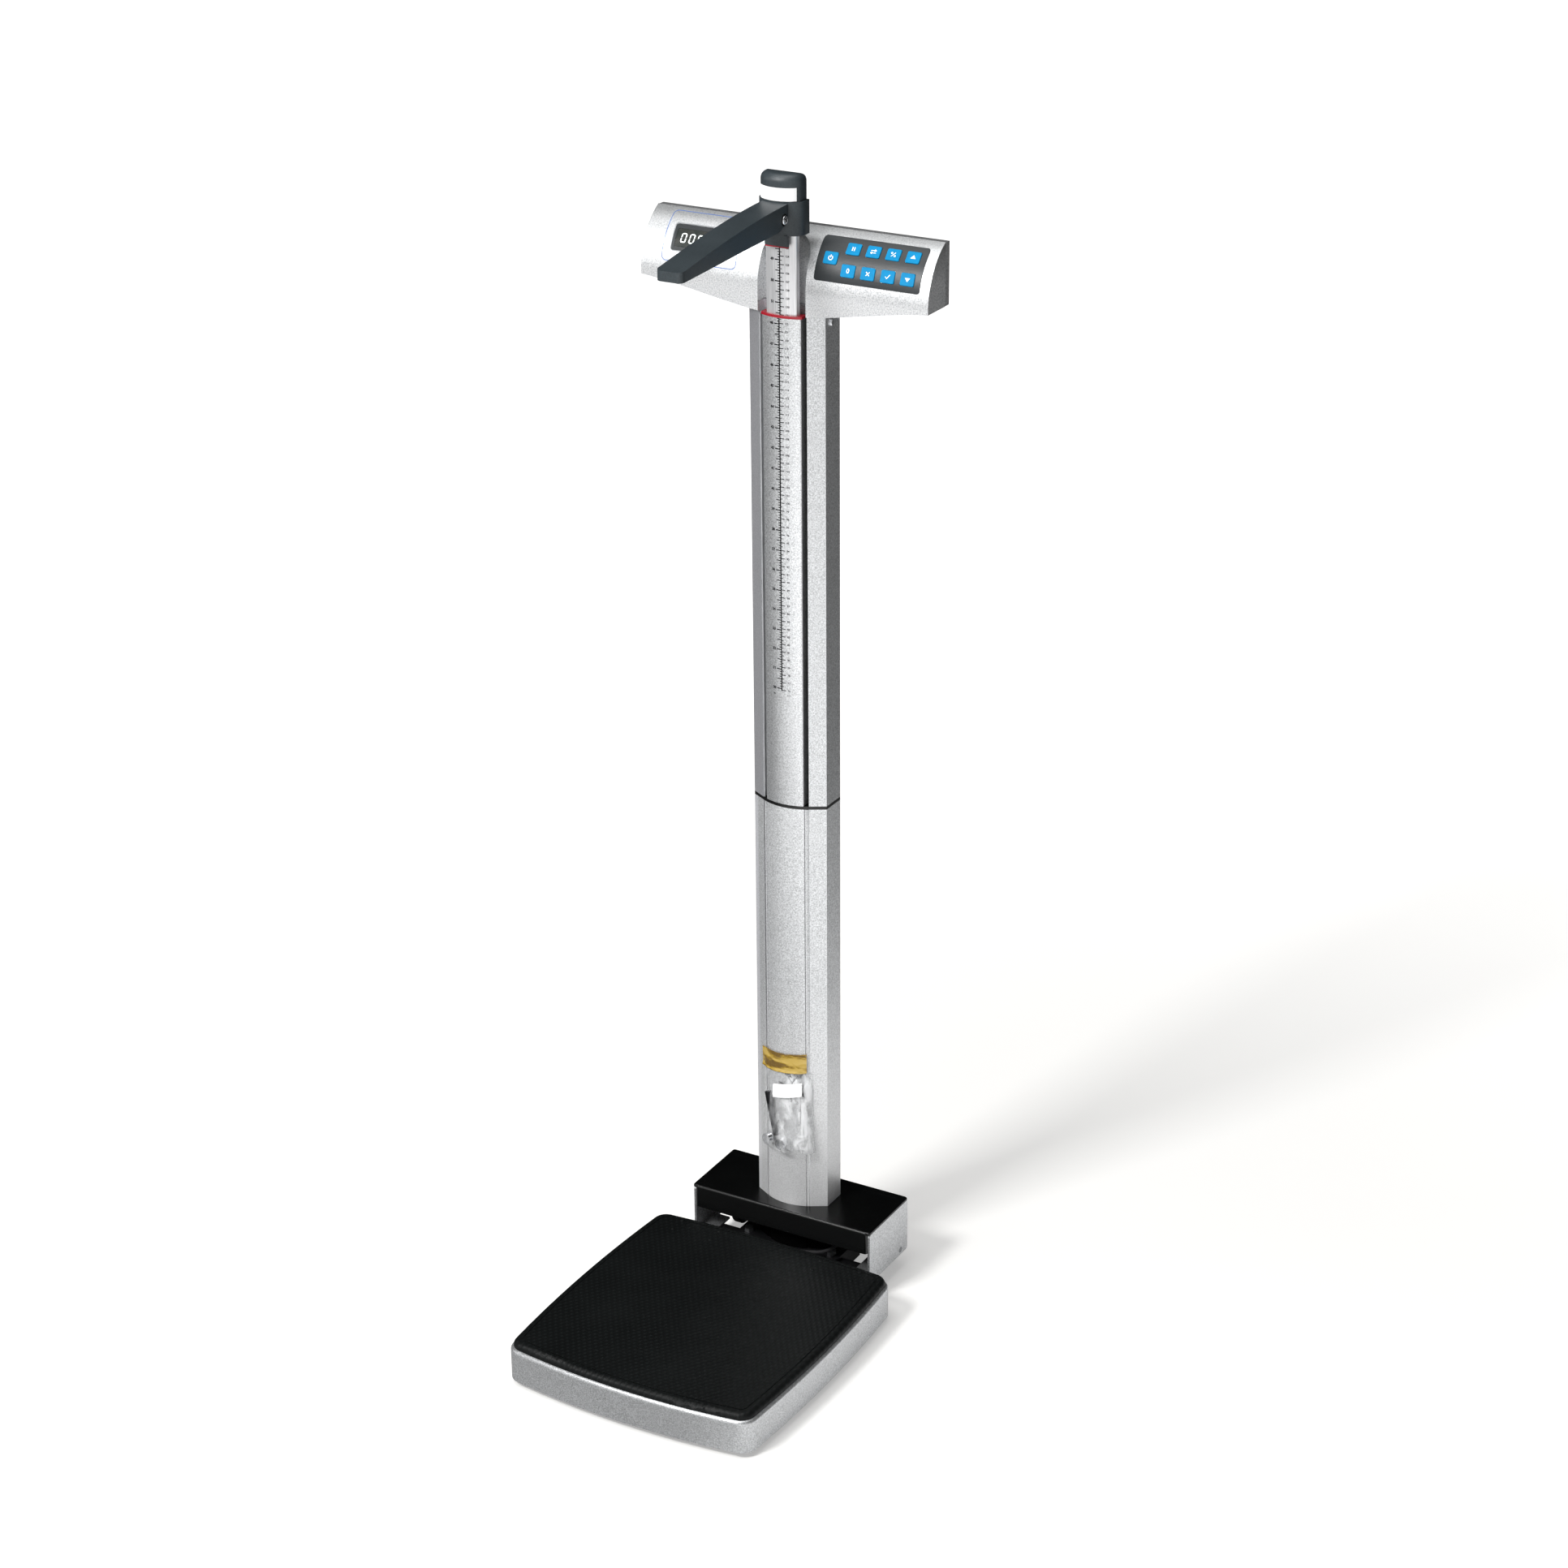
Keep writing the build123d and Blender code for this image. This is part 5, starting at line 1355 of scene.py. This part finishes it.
def studio_world(stage):
    """White to look at; in reflections brightest in front and towards the horizon."""
    world = bpy.data.worlds.new("studio")
    world.use_nodes = True
    nodes = Nodes(world.node_tree)
    way = nodes.axes(nodes.add("ShaderNodeTexCoord").outputs["Generated"])
    forward = nodes.ranged(way["Y"], -0.75, 0.05, stage.ahead, stage.behind)
    horizon = nodes.ranged(way["Z"], 0.15, 0.55, 1.0, 0.3)
    ceiling = nodes.ranged(way["Z"], 0.7, 0.95, 0.0, stage.overhead)
    tone = nodes.math("MAXIMUM", nodes.product(forward, horizon), ceiling)
    room = nodes.add("ShaderNodeBackground", {0: tone, 1: stage.room}).outputs[0]
    seen = nodes.add("ShaderNodeBackground", {0: (1.0, 1.0, 1.0, 1.0)}).outputs[0]
    ray = nodes.add("ShaderNodeLightPath").outputs["Is Camera Ray"]
    choice = nodes.add("ShaderNodeMixShader", {0: ray, 1: room, 2: seen}).outputs[0]
    nodes.add("ShaderNodeOutputWorld", {0: choice})
    return world


def camera(stage):
    """The camera, turned by azimuth, elevation and roll."""
    cam = bpy.data.cameras.new("camera")
    cam.sensor_width = 36.0
    cam.lens = stage.lens
    cam.clip_start, cam.clip_end = 0.05, 200.0
    made = placed("camera", cam)
    a, e, r = stage.azimuth, stage.elevation, stage.roll
    right = Vector((math.cos(a), math.sin(a), 0))
    back = Vector((math.sin(a) * math.cos(e), -math.cos(a) * math.cos(e), math.sin(e)))
    up = back.cross(right)
    across, along = right * math.cos(r) + up * math.sin(r), up * math.cos(r) - right * math.sin(r)
    axes = Matrix((across, along, back)).transposed().to_4x4()
    made.matrix_world = Matrix.Translation(Vector(stage.eye)) @ axes
    return made


class SCALE_OT_stage(bpy.types.Operator):
    """Sets up the floor, the soft lights and the camera"""

    bl_idname = "scale_object.stage"
    bl_label = "Stage"

    def execute(self, context):
        scene = context.scene
        stage = scene.scale_stage
        scene.view_settings.view_transform = "Standard"
        scene.view_settings.look = "None"

        mesh = bpy.data.meshes.new("floor")
        work = bmesh.new()
        bmesh.ops.create_grid(work, x_segments=8, y_segments=8, size=40.0)
        work.to_mesh(mesh)
        work.free()
        floor = placed("floor", mesh)
        floor.data.materials.append(studio_paper(stage))

        middle = Vector((0, 0, 0.75))
        side, rise, far = math.radians(-20), math.radians(42), 3.9
        level = far * math.cos(rise)
        way = Vector((level * math.sin(side), -level * math.cos(side), far * math.sin(rise)))
        light("key", middle + way, middle, stage.key_size, stage.key_power)
        light("top", (-0.3, -0.5, 4.0), (0, 0, 0.6), 2.2, stage.top_power)
        light("left", (-3.2, -1.6, 1.7), (0, 0, 0.9), 1.4, stage.side_power)
        scene.world = studio_world(stage)
        scene.camera = camera(stage)
        return {"FINISHED"}


# ---------------------------------------------------------------- add-on
GROUPS = {
    "scale_finishes": ScaleFinishes,
    "scale_rule": ScaleRule,
    "scale_bag": ScaleBag,
    "scale_stage": ScaleStage,
}
OPERATORS = (
    SCALE_OT_stage,
    SCALE_OT_finishes,
    SCALE_OT_rule_print,
    SCALE_OT_rod_print,
    SCALE_OT_display,
    SCALE_OT_key_marks,
    SCALE_OT_cap_label,
    SCALE_OT_rod_cap,
    SCALE_OT_pivot_mark,
    SCALE_OT_groove_strips,
    SCALE_OT_cover_rim,
    SCALE_OT_bag_film,
    SCALE_OT_bag_tape,
)


class SCALE_PT_panel(bpy.types.Panel):
    """Shows the scale's settings and operators in the sidebar"""

    bl_idname = "SCALE_PT_panel"
    bl_label = "Physician Scale"
    bl_space_type = "VIEW_3D"
    bl_region_type = "UI"
    bl_category = "Scale"

    def draw(self, context):
        for name in GROUPS:
            group = getattr(context.scene, name)
            box = self.layout.box()
            for setting in group.__annotations__:
                box.prop(group, setting)
        for operator in OPERATORS:
            self.layout.operator(operator.bl_idname)


def register():
    for cls in (*GROUPS.values(), *OPERATORS, SCALE_PT_panel):
        bpy.utils.register_class(cls)
    for name, cls in GROUPS.items():
        setattr(bpy.types.Scene, name, PointerProperty(type=cls))


def unregister():
    for name in GROUPS:
        delattr(bpy.types.Scene, name)
    for cls in reversed((*GROUPS.values(), *OPERATORS, SCALE_PT_panel)):
        bpy.utils.unregister_class(cls)


def main():
    register()
    for operator in OPERATORS:
        area, name = operator.bl_idname.split(".")
        getattr(getattr(bpy.ops, area), name)()


if __name__ == "__main__":
    main()
